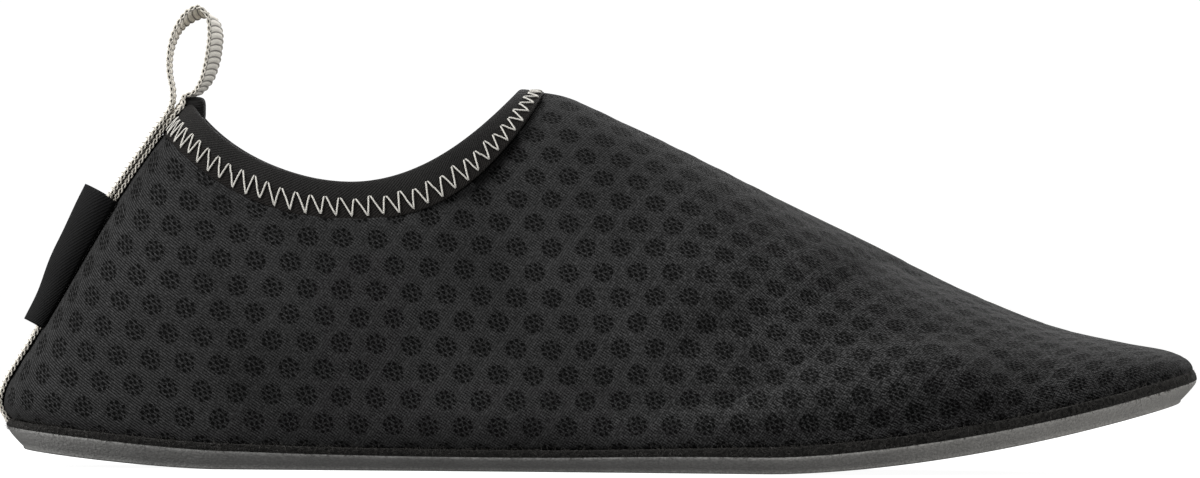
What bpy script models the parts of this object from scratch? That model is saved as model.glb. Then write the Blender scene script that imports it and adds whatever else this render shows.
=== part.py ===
# A right water shoe: a soft mesh sock on a thin rubber sole, with an elastic collar
# and one ribbed tape that covers the back seam and stands up as a pull loop.
# Metres. +X points to the toe, +Y to the inner side of the foot, +Z up, floor at Z 0.
# Lengths along the shoe start at the back of the sole. The origin is moved under the middle
# of the whole shoe at the end.
import math

import bmesh
import bpy
import numpy as np

# Driving sizes of the whole shoe
SHOE_LENGTH = 0.2600
BALL_WIDTH = 0.0920
INSTEP_HEIGHT = 0.0840  # top of the foot at the front of the collar, above the sole
HEEL_HEIGHT = 0.0800  # collar at the centre of the back, above the floor
COLLAR_DIP_HEIGHT = 0.0628  # collar at its lowest, beside the ankle

# Sole
TOE_SPRING = 0.0166
HEEL_LIFT = 0.0042
HEEL_FLAT_FROM = 0.046  # from the back of the shoe to where the sole meets the floor
TOE_BEND_AT = 0.165  # from the back of the shoe to where the toe starts to rise
SOLE_THICKNESS = 0.0057  # outsole and felt together, at the heel
FELT_THICKNESS = 0.0022
FELT_ROUND = 0.0004  # the felt's cut edge is this much rounded
INSOLE_THICKNESS = 0.0026
INSOLE_TOE_ROOM = 0.0075  # the insole stops this far short of the upper at the toe
SIDE_BEVEL = 0.0034  # how far the sole's side slopes in, from the felt to the ground
GROUND_EDGE_RADIUS = 0.0006
GROOVE_WIDTH = 0.0016
GROOVE_DEPTH = 0.0008
GROOVE_RIM = 0.0090  # smooth rim left between the grooves and the ground edge

# Upper and collar
UPPER_WALL = 0.0016
UPPER_INSET = 0.0008  # the upper stands this far in from the felt's edge
BELLY = 0.0022  # how far the soft side swells out, just above the sole
BELLY_HEIGHT = 0.0070
BINDING_WIDTH = 0.0081
BINDING_PROUD = 0.0004  # the binding stands out from the upper by this, inside and out

# Tape, loop and tab
TAPE_WIDTH = 0.0100
TAPE_THICKNESS = 0.0010
LOOP_HEIGHT = 0.0200  # top of the loop above the collar at the centre of the back
LOOP_LENGTH = 0.0100  # loop from back to front, at its widest
LOOP_FRONT_DROP = 0.0017  # the tape leaves the heel this far below the collar's edge
LOOP_BACK_DROP = 0.0062  # and comes back to it this far below
TAPE_END_DEPTH = 0.0170  # how far the tape's loose leg reaches down inside the tab
TAB_WIDTH = 0.0136
TAB_WALL = 0.0009
TAB_TOP_DEPTH = 0.0078
TAB_BOTTOM_DEPTH = 0.0042
TAB_BOTTOM_HEIGHT = 0.0300
TAB_LENGTH = 0.0320

# Clearance between pieces that touch in the real shoe
GAP = 0.0003

# Shape of the foot form. "at" is a share of the length from the back. The half widths and
# the centre line are shares of the ball width, the rise of the top above the sole's edge
# is a share of the instep height, and the sole and belly are shares of their own sizes.
# Behind the throat the rise leads to the point where the two sides would close over.
FORM_COLUMNS = ("at", "outer", "inner", "centre", "rise", "sole", "belly", "round")
FORM_ROWS = (
    (0.00, 0.000, 0.000, 0.000, 1.080, 1.00, 1.85, 1.00),
    (0.03, 0.212, 0.212, 0.000, 1.083, 1.00, 1.60, 1.00),
    (0.08, 0.288, 0.286, 0.000, 1.090, 1.00, 1.10, 1.00),
    (0.16, 0.332, 0.323, 0.003, 1.095, 0.95, 0.75, 1.00),
    (0.27, 0.362, 0.307, 0.016, 1.075, 0.82, 0.75, 1.00),
    (0.36, 0.392, 0.274, 0.035, 0.998, 0.77, 0.90, 1.00),
    (0.42, 0.421, 0.259, 0.050, 0.933, 0.76, 0.90, 1.02),
    (0.46, 0.443, 0.257, 0.058, 0.920, 0.77, 0.85, 1.04),
    (0.52, 0.474, 0.263, 0.066, 0.839, 0.82, 0.75, 1.04),
    (0.62, 0.538, 0.319, 0.078, 0.684, 0.94, 0.50, 1.00),
    (0.72, 0.590, 0.384, 0.090, 0.514, 1.02, 0.35, 0.95),
    (0.80, 0.579, 0.402, 0.098, 0.357, 1.04, 0.28, 0.91),
    (0.88, 0.501, 0.369, 0.104, 0.211, 1.04, 0.20, 0.88),
    (0.94, 0.383, 0.291, 0.106, 0.124, 1.04, 0.12, 0.87),
    (0.98, 0.245, 0.201, 0.104, 0.068, 1.04, 0.05, 0.87),
    (1.00, 0.000, 0.000, 0.102, 0.000, 1.04, 0.00, 0.90),
)
FORM = {name: np.array(values) for name, values in zip(FORM_COLUMNS, zip(*FORM_ROWS))}
HEEL_TOP_SHIFT = 0.0705  # how far forward the back leans at its closing point
HEEL_LEAN = 0.45  # 0 is a round back, 1 a straight one

# The two lines round the ankle, seen from the side: the collar's own edge, and the seam
# where the binding meets the upper. The first three columns are shares of the binding's
# width: how far the line lies below the edge at the heel and dip, and ahead of it in front.
# "hook" is the share of the rise to the heel that comes in its last steep part.
THROAT_AT = 0.425  # share of the length, front end of the collar's edge
COLLAR_DIP_AT = 0.287
LINE_COLUMNS = ("heel", "dip", "throat", "back_power", "front_power", "hook")
LINE_ROWS = {
    "edge": (0.00, 0.00, 0.00, 1.9, 2.0, 0.22),
    "seam": (0.86, 1.02, 0.72, 2.2, 2.6, 0.05),
}
HOOK_POWER = 6  # the steep last part of a line at the heel

# The binding's section, from its outer foot over the edge to its inner foot: "up" is a
# share of its width above the seam, "out" a share of half its thickness.
BINDING_COLUMNS = ("up", "out")
BINDING_ROWS = (
    (0.00, 1.00),
    (0.45, 1.00),
    (0.86, 1.00),
    (0.96, 0.75),
    (1.00, 0.00),
    (0.96, -0.75),
    (0.86, -1.00),
    (0.45, -1.00),
    (0.00, -1.00),
)

# The pull loop seen from the side, from its front foot over the top to its back foot.
# "forward" is a share of the loop's length from the back of the collar's edge, "up" a
# share of its height above it. The last columns turn the tape's width forward and down,
# as shares of the width, because the loop is twisted a little.
LOOP_COLUMNS = ("forward", "up", "turn_forward", "turn_down")
LOOP_ROWS = (
    (-0.11, 0.035, 0.06, 0.00),
    (0.09, 0.100, 0.12, 0.00),
    (0.28, 0.220, 0.20, 0.00),
    (0.43, 0.395, 0.25, 0.00),
    (0.51, 0.575, 0.26, 0.00),
    (0.53, 0.765, 0.24, 0.03),
    (0.45, 0.910, 0.18, 0.10),
    (0.23, 0.975, 0.12, 0.20),
    (-0.03, 0.925, 0.08, 0.20),
    (-0.24, 0.815, 0.06, 0.12),
    (-0.39, 0.650, 0.05, 0.04),
    (-0.46, 0.450, 0.03, 0.00),
    (-0.445, 0.275, 0.02, 0.00),
    (-0.385, 0.130, 0.02, 0.00),
    (-0.39, -0.020, 0.02, 0.00),
)

# Cross grooves under the sole, as shares of the length
GROOVES_AT = (0.20, 0.24, 0.28, 0.50, 0.54, 0.58, 0.62, 0.66, 0.70, 0.74, 0.78, 0.82)

OUTER, INNER = -1, 1  # the two sides of a right shoe, as signs of Y

# How finely the curved pieces are divided
SOLE_STATIONS = 40
UPPER_STATIONS_BACK = 20
UPPER_STATIONS_FRONT = 22
UPPER_ROWS = 12
BINDING_STATIONS = 20
SEAM_TAPE_ROWS = 22
LEG_ROWS = 10
LOOP_STEPS = 2
TAB_ROWS = 7
TAB_ARCH_STEPS = 10

SMALL_STEP = 1e-3  # in station or turn, for directions worked out from two near points
WELD = 1e-6

COLOURS = {
    "charcoal_mesh": (0.026, 0.026, 0.028),
    "black_elastic": (0.015, 0.015, 0.016),
    "grey_rubber": (0.074, 0.073, 0.072),
    "black_felt": (0.016, 0.016, 0.016),
    "dark_foam": (0.035, 0.035, 0.037),
    "taupe_tape": (0.430, 0.396, 0.342),
    "black_twill": (0.010, 0.010, 0.011),
}
ROUGHNESS = {"grey_rubber": 0.55, "dark_foam": 0.80}
CLOTH_ROUGHNESS = 0.92


def smooth_curve(knots, values, where):
    # Cubic through the knots, with each slope set by the knots on its two sides.
    slopes = np.gradient(values, knots)
    index = np.clip(np.searchsorted(knots, where) - 1, 0, len(knots) - 2)
    step = knots[index + 1] - knots[index]
    t = (where - knots[index]) / step
    return (
        values[index] * (2 * t**3 - 3 * t**2 + 1)
        + slopes[index] * step * (t**3 - 2 * t**2 + t)
        + values[index + 1] * (3 * t**2 - 2 * t**3)
        + slopes[index + 1] * step * (t**3 - t**2)
    )


def station_of(at):
    # A station is an angle, 0 at the back and pi at the toe, so that both ends come out round.
    return np.arccos(1 - 2 * np.clip(at, 0, 1))


def share_of(station):
    return (1 - np.cos(station)) / 2


def form(name, station):
    return smooth_curve(station_of(FORM["at"]), FORM[name], station)


def ground_height(x):
    # The underside: level from heel to ball, with a small lift behind and the toe spring.
    behind = np.clip((HEEL_FLAT_FROM - x) / HEEL_FLAT_FROM, 0, None)
    ahead = np.clip((x - TOE_BEND_AT) / (SHOE_LENGTH - TOE_BEND_AT), 0, None)
    return HEEL_LIFT * behind**1.5 + TOE_SPRING * ahead**1.7


def felt_top(x):
    # The sole's upper edge: the underside raised by the sole's thickness at that place.
    return ground_height(x) + SOLE_THICKNESS * form("sole", station_of(x / SHOE_LENGTH))


def centre_line(station):
    return BALL_WIDTH * form("centre", station)


def sole_edge(station, side):
    half = form("outer" if side == OUTER else "inner", station) * BALL_WIDTH
    return SHOE_LENGTH * share_of(station), centre_line(station) + side * half


def footprint(station, side, inset):
    # The sole's outline seen from above, drawn in everywhere by the same inset.
    x, y = sole_edge(station, side)
    x_low, y_low = sole_edge(np.maximum(station - SMALL_STEP, 0), side)
    x_high, y_high = sole_edge(np.minimum(station + SMALL_STEP, math.pi), side)
    along_x, along_y = x_high - x_low, y_high - y_low
    length = np.hypot(along_x, along_y)
    at_end = (station < SMALL_STEP) | (station > math.pi - SMALL_STEP)
    out_x = np.where(at_end, np.sign(station - 1), -side * along_y / length)
    out_y = np.where(at_end, 0, side * along_x / length)
    return x - inset * out_x, y - inset * out_y


def upper_point(station, turn, side):
    # One rib of the foot form: a rounded quarter turn from the sole's edge at turn 0 to the
    # top line at turn 1. Towards the heel the rib leans forward, and a belly swells it out.
    x, y = footprint(station, side, UPPER_INSET)
    top_x = UPPER_INSET + (SHOE_LENGTH - 2 * UPPER_INSET) * share_of(station)
    centre = centre_line(station)
    back_share = np.clip(1 - share_of(station) / THROAT_AT, 0, 1) ** 1.5
    shift = HEEL_TOP_SHIFT * back_share
    lean = HEEL_LEAN * back_share
    power = form("round", station)
    angle = turn * math.pi / 2
    up = np.sin(angle) ** power
    over = lean * up + (1 - lean) * (1 - np.maximum(np.cos(angle), 0) ** power)
    over = np.where(turn >= 1, 1, over)
    height = INSTEP_HEIGHT * form("rise", station) * up
    half = y - centre
    swell = BELLY * form("belly", station) * (1 - over)
    swell = swell * height / BELLY_HEIGHT * np.exp(1 - height / BELLY_HEIGHT)
    reach = np.hypot(shift, half) + WELD
    return np.stack(
        (
            x + (top_x + shift - x) * over - swell * shift / reach,
            centre + half * (1 - over) + swell * half / reach,
            felt_top(x + (top_x - x) * over) + GAP + height,
        ),
        axis=-1,
    )


def upper_normal(station, turn, side):
    # Outward direction of the foot form, from its two small steps.
    station, turn = np.broadcast_arrays(station, turn)
    low_s, high_s = np.maximum(station - SMALL_STEP, 0), np.minimum(station + SMALL_STEP, math.pi)
    low_t, high_t = np.maximum(turn - SMALL_STEP, 0), np.minimum(turn + SMALL_STEP, 1)
    along = upper_point(high_s, turn, side) - upper_point(low_s, turn, side)
    across = upper_point(station, high_t, side) - upper_point(station, low_t, side)
    normal = -side * np.cross(along, across)
    on_middle = (station < SMALL_STEP) | (turn > 1 - SMALL_STEP)
    normal[..., 1] = np.where(on_middle, 0, normal[..., 1])
    return normal / np.linalg.norm(normal, axis=-1, keepdims=True)


def upper_shell(station, turn, side, proud):
    # The foot form moved out by proud, or in where that is negative.
    station, turn, proud = np.broadcast_arrays(station, turn, proud)
    return upper_point(station, turn, side) + proud[..., None] * upper_normal(station, turn, side)


def turn_where(station, side, height_over):
    # The turn at which each rib meets a line whose height is given over x.
    low, high = np.zeros_like(station), np.ones_like(station)
    for _ in range(40):
        middle = (low + high) / 2
        point = upper_point(station, middle, side)
        below = point[..., 2] < height_over(point[..., 0])
        low, high = np.where(below, middle, low), np.where(below, high, middle)
    return low


def back_turn(height):
    # The turn at which the back seam reaches a height above the floor.
    return turn_where(np.zeros(1), OUTER, lambda x: height + 0 * x)[0]


def throat_station(line):
    ahead = dict(zip(LINE_COLUMNS, LINE_ROWS[line]))["throat"] * BINDING_WIDTH
    return station_of(THROAT_AT + ahead / SHOE_LENGTH)


def collar_turn(line, station, side):
    # The turn at which each rib meets one of the lines round the ankle.
    share = dict(zip(LINE_COLUMNS, LINE_ROWS[line]))
    heel_height = HEEL_HEIGHT - share["heel"] * BINDING_WIDTH
    dip_height = COLLAR_DIP_HEIGHT - share["dip"] * BINDING_WIDTH
    throat = upper_point(throat_station(line), 1, side)
    heel_x = upper_point(0.0, back_turn(heel_height), side)[0]
    dip_x = COLLAR_DIP_AT * SHOE_LENGTH

    def height_over(x):
        back = np.clip((dip_x - x) / (dip_x - heel_x), 0, None)
        back = (1 - share["hook"]) * back ** share["back_power"] + share["hook"] * back**HOOK_POWER
        front = np.clip((x - dip_x) / (throat[0] - dip_x), 0, None) ** share["front_power"]
        return dip_height + (heel_height - dip_height) * back + (throat[2] - dip_height) * front

    turn = turn_where(station, side, height_over)
    return np.where(station >= throat_station(line) - WELD, 1.0, turn)


def around(of_side):
    # Joins the two sides of a piece into one ring: out along the outer side, back along the
    # inner one. of_side gives rows of points for one side, from the back to the toe.
    outer, inner = of_side(OUTER), of_side(INNER)
    return np.concatenate((outer, inner[:, -2:0:-1]), axis=1)


def grid_faces(rows, columns, close_rows=False, close_columns=False):
    faces = []
    for i in range(rows if close_rows else rows - 1):
        for j in range(columns if close_columns else columns - 1):
            here, above = i * columns, (i + 1) % rows * columns
            after = (j + 1) % columns
            faces.append((here + j, here + after, above + after, above + j))
    return faces


def rung_faces(first, stations):
    # Closes a flat ring with rungs from each station of the outer side to the inner one.
    outer = [first + i for i in range(stations)]
    inner = [outer[0]] + [first + 2 * stations - 2 - i for i in range(1, stations - 1)] + [outer[-1]]
    faces = [(outer[0], outer[1], inner[1]), (outer[-2], outer[-1], inner[-2])]
    for i in range(1, stations - 2):
        faces.append((outer[i], outer[i + 1], inner[i + 1], inner[i]))
    return faces


def make_material(name):
    material = bpy.data.materials.new(name)
    material.use_nodes = True
    shader = material.node_tree.nodes["Principled BSDF"]
    shader.inputs["Base Color"].default_value = (*COLOURS[name], 1)
    shader.inputs["Roughness"].default_value = ROUGHNESS.get(name, CLOTH_ROUGHNESS)
    shader.inputs["Metallic"].default_value = 0
    return material


def make_object(name, points, faces, material, outward=False):
    # Builds one mesh object. Points that meet are welded. A closed body is turned outward.
    shape = bmesh.new()
    vertices = [shape.verts.new(point) for point in points.reshape(-1, 3)]
    for face in faces:
        shape.faces.new([vertices[i] for i in face])
    bmesh.ops.remove_doubles(shape, verts=shape.verts, dist=WELD)
    if outward:
        bmesh.ops.recalc_face_normals(shape, faces=shape.faces)
    mesh = bpy.data.meshes.new(name)
    shape.to_mesh(mesh)
    shape.free()
    mesh.shade_smooth()
    mesh.set_sharp_from_angle(angle=math.radians(40))
    made = bpy.data.objects.new(name, mesh)
    made.data.materials.append(make_material(material))
    return made


def add_wall(made, thickness, offset):
    wall = made.modifiers.new("wall", "SOLIDIFY")
    wall.thickness = thickness
    wall.offset = offset


def sole_layer(name, rows, material):
    # A layer of the sole. Each row of its side is an inset and a function of x for its height.
    stations = np.linspace(0, math.pi, SOLE_STATIONS)

    def one_side(side):
        lines = []
        for inset, height in rows:
            x, y = footprint(stations, side, inset)
            lines.append(np.stack((x, y, height(x)), axis=-1))
        return np.array(lines)

    points = around(one_side)
    columns = points.shape[1]
    faces = grid_faces(len(rows), columns, close_columns=True)
    faces += rung_faces(0, SOLE_STATIONS) + rung_faces((len(rows) - 1) * columns, SOLE_STATIONS)
    return make_object(name, points, faces, material, outward=True)


def outsole_top(x):
    return felt_top(x) - FELT_THICKNESS - GAP


def make_groove(at, collection):
    x = at * SHOE_LENGTH
    inset = SIDE_BEVEL + GROUND_EDGE_RADIUS + GROOVE_RIM
    station = station_of(np.array([at]))
    low, high = footprint(station, OUTER, inset)[1][0], footprint(station, INNER, inset)[1][0]
    floor = ground_height(x)
    bpy.ops.mesh.primitive_cube_add(size=1, location=(x, (low + high) / 2, floor))
    cutter = bpy.context.object
    cutter.name = f"groove_cutter_{round(at * 100)}"
    cutter.scale = (GROOVE_WIDTH, high - low, 2 * GROOVE_DEPTH)
    cutter.hide_render = True
    cutter.display_type = "WIRE"
    for owner in list(cutter.users_collection):
        owner.objects.unlink(cutter)
    collection.objects.link(cutter)
    return cutter


def make_outsole(cutters):
    rows = (
        (SIDE_BEVEL + GROUND_EDGE_RADIUS, ground_height),
        (SIDE_BEVEL, lambda x: ground_height(x) + GROUND_EDGE_RADIUS),
        (0.0, outsole_top),
    )
    outsole = sole_layer("outsole", rows, "grey_rubber")
    for at in GROOVES_AT:
        cut = outsole.modifiers.new("groove", "BOOLEAN")
        cut.operation = "DIFFERENCE"
        cut.object = make_groove(at, cutters)
    return outsole


def make_felt():
    rows = (
        (FELT_ROUND, lambda x: felt_top(x) - FELT_THICKNESS),
        (0.0, lambda x: felt_top(x) - FELT_THICKNESS / 2),
        (FELT_ROUND, felt_top),
    )
    return sole_layer("felt_midsole", rows, "black_felt")


def make_insole():
    # The footbed follows the upper's inside. It is drawn in more towards the low toe.
    inset = UPPER_INSET + UPPER_WALL + GAP
    stations = np.linspace(0, math.pi, SOLE_STATIONS)
    toward_toe = share_of(stations) ** 3

    def one_side(side):
        lines = []
        for lean, height in ((0.0, 0.0), (INSOLE_THICKNESS, INSOLE_THICKNESS)):
            room = inset + (INSOLE_TOE_ROOM - inset + lean) * toward_toe
            x, y = footprint(stations, side, room)
            lines.append(np.stack((x, y, felt_top(x) + GAP + height), axis=-1))
        return np.array(lines)

    points = around(one_side)
    columns = points.shape[1]
    faces = grid_faces(2, columns, close_columns=True)
    faces += rung_faces(0, SOLE_STATIONS) + rung_faces(columns, SOLE_STATIONS)
    return make_object("insole", points, faces, "dark_foam", outward=True)


def make_upper():
    # One sock: ribs stand on the sole's edge. Behind the throat they end at the collar seam,
    # ahead of it they meet over the foot.
    throat = throat_station("seam")
    back = throat * (1 - (1 - np.linspace(0, 1, UPPER_STATIONS_BACK)) ** 2)
    front = np.linspace(throat, math.pi, UPPER_STATIONS_FRONT)
    stations = np.concatenate((back, front[1:]))
    rows = np.linspace(0, 1, UPPER_ROWS + 1)[:, None]

    def one_side(side):
        return upper_point(stations, rows * collar_turn("seam", stations, side), side)

    points = around(one_side)
    faces = grid_faces(UPPER_ROWS + 1, points.shape[1], close_columns=True)
    upper = make_object("upper", points, faces, "charcoal_mesh")
    add_wall(upper, UPPER_WALL, -1)
    return upper


def make_binding():
    # A ring of elastic from the seam to the collar's edge, thicker than the upper's wall.
    spread = 1 - (1 - np.linspace(0, 1, BINDING_STATIONS)) ** 2
    seam_stations, edge_stations = spread * throat_station("seam"), spread * throat_station("edge")
    section = {name: np.array(column) for name, column in zip(BINDING_COLUMNS, zip(*BINDING_ROWS))}
    half = UPPER_WALL / 2 + BINDING_PROUD

    def one_side(side):
        seam_turn = collar_turn("seam", seam_stations, side)
        edge_turn = collar_turn("edge", edge_stations, side)
        seam = upper_point(seam_stations, seam_turn, side)
        edge = upper_point(edge_stations, edge_turn, side)
        foot = GAP / np.linalg.norm(edge - seam, axis=-1)
        up = foot + (1 - foot) * section["up"][:, None]
        station = seam_stations + (edge_stations - seam_stations) * up
        turn = seam_turn + (edge_turn - seam_turn) * up
        return upper_shell(station, turn, side, section["out"][:, None] * half - UPPER_WALL / 2)

    points = around(one_side)
    faces = grid_faces(len(BINDING_ROWS), points.shape[1], close_rows=True, close_columns=True)
    return make_object("collar_binding", points, faces, "black_elastic", outward=True)


def station_at_width(turn, width):
    # The station where the form, at this turn, lies this far from its middle plane.
    tries = np.linspace(0, station_of(THROAT_AT / 2), 200)
    return np.interp(width, upper_point(tries, turn, INNER)[:, 1], tries)


def turns_along_back(start, stop, length, steps):
    # Turns evenly spaced along the back seam: from a start turn towards stop, over a length.
    turns = np.linspace(start, stop, 400)
    line = upper_point(np.zeros_like(turns), turns, OUTER)
    run = np.concatenate(([0], np.cumsum(np.linalg.norm(np.diff(line, axis=0), axis=1))))
    return np.interp(np.linspace(0, min(length, run[-1]), steps), run, turns)


def back_strip(turns, widths, proud):
    # A strip that lies on the heel. Each row is a turn, each column a distance from the middle.
    rows = []
    for turn, out in zip(turns, proud):
        row = []
        for width in widths:
            side = INNER if width > 0 else OUTER
            row.append(upper_shell(station_at_width(turn, abs(width)), turn, side, out))
        rows.append(row)
    return np.array(rows)


def binding_step(turns):
    # How much further out the heel's surface is at these turns, because of the binding.
    seam, edge = collar_turn("seam", np.zeros(1), OUTER)[0], back_turn(HEEL_HEIGHT)
    return BINDING_PROUD * np.clip(1 + (turns - seam) / (edge - seam) * 3, 0, 1)


def loop_strip(widths):
    # The free part of the loop, from its front foot over the top to its back foot.
    rows = {name: np.array(column) for name, column in zip(LOOP_COLUMNS, zip(*LOOP_ROWS))}
    knots = np.arange(len(LOOP_ROWS), dtype=float)
    where = np.linspace(0, knots[-1], LOOP_STEPS * (len(LOOP_ROWS) - 1) + 1)
    curve = {name: smooth_curve(knots, rows[name], where) for name in LOOP_COLUMNS}
    foot = upper_point(0.0, back_turn(HEEL_HEIGHT), OUTER)
    middle = np.stack(
        (foot[0] + curve["forward"] * LOOP_LENGTH, 0 * where, foot[2] + curve["up"] * LOOP_HEIGHT),
        axis=-1,
    )
    across = np.stack((curve["turn_forward"], 1 + 0 * where, -curve["turn_down"]), axis=-1)
    across /= np.linalg.norm(across, axis=-1, keepdims=True)
    return middle[:, None] + across[:, None] * np.array(widths)[:, None]


def make_heel_loop_tape():
    # One tape: up the back seam, free as the loop, and down again over its own first run.
    widths = np.linspace(-TAPE_WIDTH / 2, TAPE_WIDTH / 2, 5)
    top = turns_along_back(back_turn(HEEL_HEIGHT), 0, LOOP_FRONT_DROP, 2)[-1]
    split = turns_along_back(back_turn(HEEL_HEIGHT), 0, LOOP_BACK_DROP, 2)[-1]
    foot = back_turn(felt_top(0.0) + 4 * GAP)
    up_turns = np.linspace(foot, top, SEAM_TAPE_ROWS)
    run = np.linalg.norm(upper_point(0.0, split, OUTER) - upper_point(0.0, tab_top_turn(), OUTER))
    down_turns = turns_along_back(split, 0, run + TAPE_END_DEPTH, LEG_ROWS)
    inner_run = GAP + TAPE_THICKNESS / 2 + binding_step(up_turns)
    outer_run = 2 * GAP + TAPE_THICKNESS * 1.5 + binding_step(down_turns)
    points = np.concatenate(
        (
            back_strip(up_turns, widths, inner_run),
            loop_strip(widths),
            back_strip(down_turns, widths, outer_run),
        )
    )
    tape = make_object(
        "heel_loop_tape", points, grid_faces(len(points), len(widths)), "taupe_tape"
    )
    add_wall(tape, TAPE_THICKNESS, 0)
    return tape


def tab_top_turn():
    return turns_along_back(back_turn(TAB_BOTTOM_HEIGHT), 1, TAB_LENGTH, 2)[-1]


def make_heel_tab():
    # A flat tube of twill, open above and below, that arches over the tape.
    turns = turns_along_back(tab_top_turn(), 0, TAB_LENGTH, TAB_ROWS)
    depths = np.linspace(TAB_TOP_DEPTH, TAB_BOTTOM_DEPTH, TAB_ROWS) - TAB_WALL / 2 - GAP
    arch = np.linspace(0, math.pi, TAB_ARCH_STEPS + 1)
    rows = []
    for turn, depth in zip(turns, depths):
        row = []
        for angle in arch:
            width = -math.cos(angle) * (TAB_WIDTH - TAB_WALL) / 2
            side = INNER if width > 0 else OUTER
            out = GAP + depth * abs(math.sin(angle)) ** 0.6
            row.append(upper_shell(station_at_width(turn, abs(width)), turn, side, out))
        rows.append(row)
    points = np.array(rows)
    tab = make_object("heel_tab", points, grid_faces(*points.shape[:2]), "black_twill")
    add_wall(tab, TAB_WALL, 0)
    return tab


def main():
    for old in list(bpy.data.objects):
        bpy.data.objects.remove(old, do_unlink=True)
    shoe = bpy.data.collections.new("water_shoe")
    cutters = bpy.data.collections.new("cutters")
    bpy.context.scene.collection.children.link(shoe)
    bpy.context.scene.collection.children.link(cutters)
    origin = bpy.data.objects.new("water_shoe_origin", None)
    shoe.objects.link(origin)
    pieces = (
        make_outsole(cutters),
        make_felt(),
        make_insole(),
        make_upper(),
        make_binding(),
        make_heel_loop_tape(),
        make_heel_tab(),
    )
    for piece in pieces:
        shoe.objects.link(piece)
        piece.parent = origin
    for cutter in cutters.objects:
        cutter.parent = origin
    # The sole ends the shoe in front, and the tape on the heel's swell ends it behind.
    tape = next(piece for piece in pieces if piece.name == "heel_loop_tape")
    backmost = min(corner[0] for corner in tape.bound_box) - TAPE_THICKNESS / 2
    origin.location = (-(SHOE_LENGTH + backmost) / 2, 0, 0)


main()
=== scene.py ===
# The looks of a right water shoe: a knitted mesh sock on a thin rubber sole.
# Metres, +X to the toe, +Y to the inner side of the foot, +Z up, floor at Z 0.
import math

import bmesh
import bpy
import mathutils
import numpy as np
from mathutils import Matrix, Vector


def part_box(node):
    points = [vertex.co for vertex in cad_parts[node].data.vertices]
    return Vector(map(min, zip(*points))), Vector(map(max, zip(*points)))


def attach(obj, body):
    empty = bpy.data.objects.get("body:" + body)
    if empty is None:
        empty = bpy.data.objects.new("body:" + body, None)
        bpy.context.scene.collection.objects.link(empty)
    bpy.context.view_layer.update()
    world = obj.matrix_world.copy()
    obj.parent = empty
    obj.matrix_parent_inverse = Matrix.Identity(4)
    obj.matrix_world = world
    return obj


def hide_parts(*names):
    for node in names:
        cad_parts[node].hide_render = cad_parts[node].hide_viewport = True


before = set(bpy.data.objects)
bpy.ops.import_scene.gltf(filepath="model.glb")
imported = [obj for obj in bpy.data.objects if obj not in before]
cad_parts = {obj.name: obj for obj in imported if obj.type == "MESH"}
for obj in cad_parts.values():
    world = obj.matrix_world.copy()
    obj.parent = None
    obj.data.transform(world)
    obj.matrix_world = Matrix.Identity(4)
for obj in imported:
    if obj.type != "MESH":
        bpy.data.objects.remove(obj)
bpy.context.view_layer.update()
print("frame loaded")

soleLow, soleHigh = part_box("outsole")
heelX = soleLow.x  # back of the sole: lengths along the shoe start here

shoe = {
    "length": soleHigh.x - soleLow.x,
    "ballWidth": 0.0920,
    "instepHeight": 0.0840,
    "heelHeight": 0.0800,  # collar at the centre of the back, above the floor
    "collarDipHeight": 0.0628,  # collar at its lowest, beside the ankle
    "toeSpring": 0.0166,
    "heelLift": 0.0042,
    "heelFlatFrom": 0.046,
    "toeBendAt": 0.165,
    "soleThickness": 0.0057,
    "feltThickness": 0.0022,
    "wall": 0.0016,
    "upperInset": 0.0008,
    "belly": 0.0022,
    "bellyHeight": 0.0070,
    "bindingWidth": 0.0081,
    "gap": 0.0003,
    "heelTopShift": 0.0705,
    "heelLean": 0.45,
    "throatAt": 0.425,
    "collarDipAt": 0.287,
}

# The foot form. "at" is a share of the length from the back. Half widths and centre are shares
# of the ball width, rise is a share of the instep height, sole and belly of their own sizes.
formColumns = ("at", "outer", "inner", "centre", "rise", "sole", "belly", "round")
formRows = (
    (0.00, 0.000, 0.000, 0.000, 1.080, 1.00, 1.85, 1.00),
    (0.03, 0.212, 0.212, 0.000, 1.083, 1.00, 1.60, 1.00),
    (0.08, 0.288, 0.286, 0.000, 1.090, 1.00, 1.10, 1.00),
    (0.16, 0.332, 0.323, 0.003, 1.095, 0.95, 0.75, 1.00),
    (0.27, 0.362, 0.307, 0.016, 1.075, 0.82, 0.75, 1.00),
    (0.36, 0.392, 0.274, 0.035, 0.998, 0.77, 0.90, 1.00),
    (0.42, 0.421, 0.259, 0.050, 0.933, 0.76, 0.90, 1.02),
    (0.46, 0.443, 0.257, 0.058, 0.920, 0.77, 0.85, 1.04),
    (0.52, 0.474, 0.263, 0.066, 0.839, 0.82, 0.75, 1.04),
    (0.62, 0.538, 0.319, 0.078, 0.684, 0.94, 0.50, 1.00),
    (0.72, 0.590, 0.384, 0.090, 0.514, 1.02, 0.35, 0.95),
    (0.80, 0.579, 0.402, 0.098, 0.357, 1.04, 0.28, 0.91),
    (0.88, 0.501, 0.369, 0.104, 0.211, 1.04, 0.20, 0.88),
    (0.94, 0.383, 0.291, 0.106, 0.124, 1.04, 0.12, 0.87),
    (0.98, 0.245, 0.201, 0.104, 0.068, 1.04, 0.05, 0.87),
    (1.00, 0.000, 0.000, 0.102, 0.000, 1.04, 0.00, 0.90),
)
outerSide, innerSide = -1, 1  # the two sides of a right shoe, as signs of Y
smallStep = 1e-3


def readTable(columns, rows):
    return {name: np.array(values) for name, values in zip(columns, zip(*rows))}


def unit(vectors):
    return vectors / np.linalg.norm(vectors, axis=-1, keepdims=True)


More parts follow.
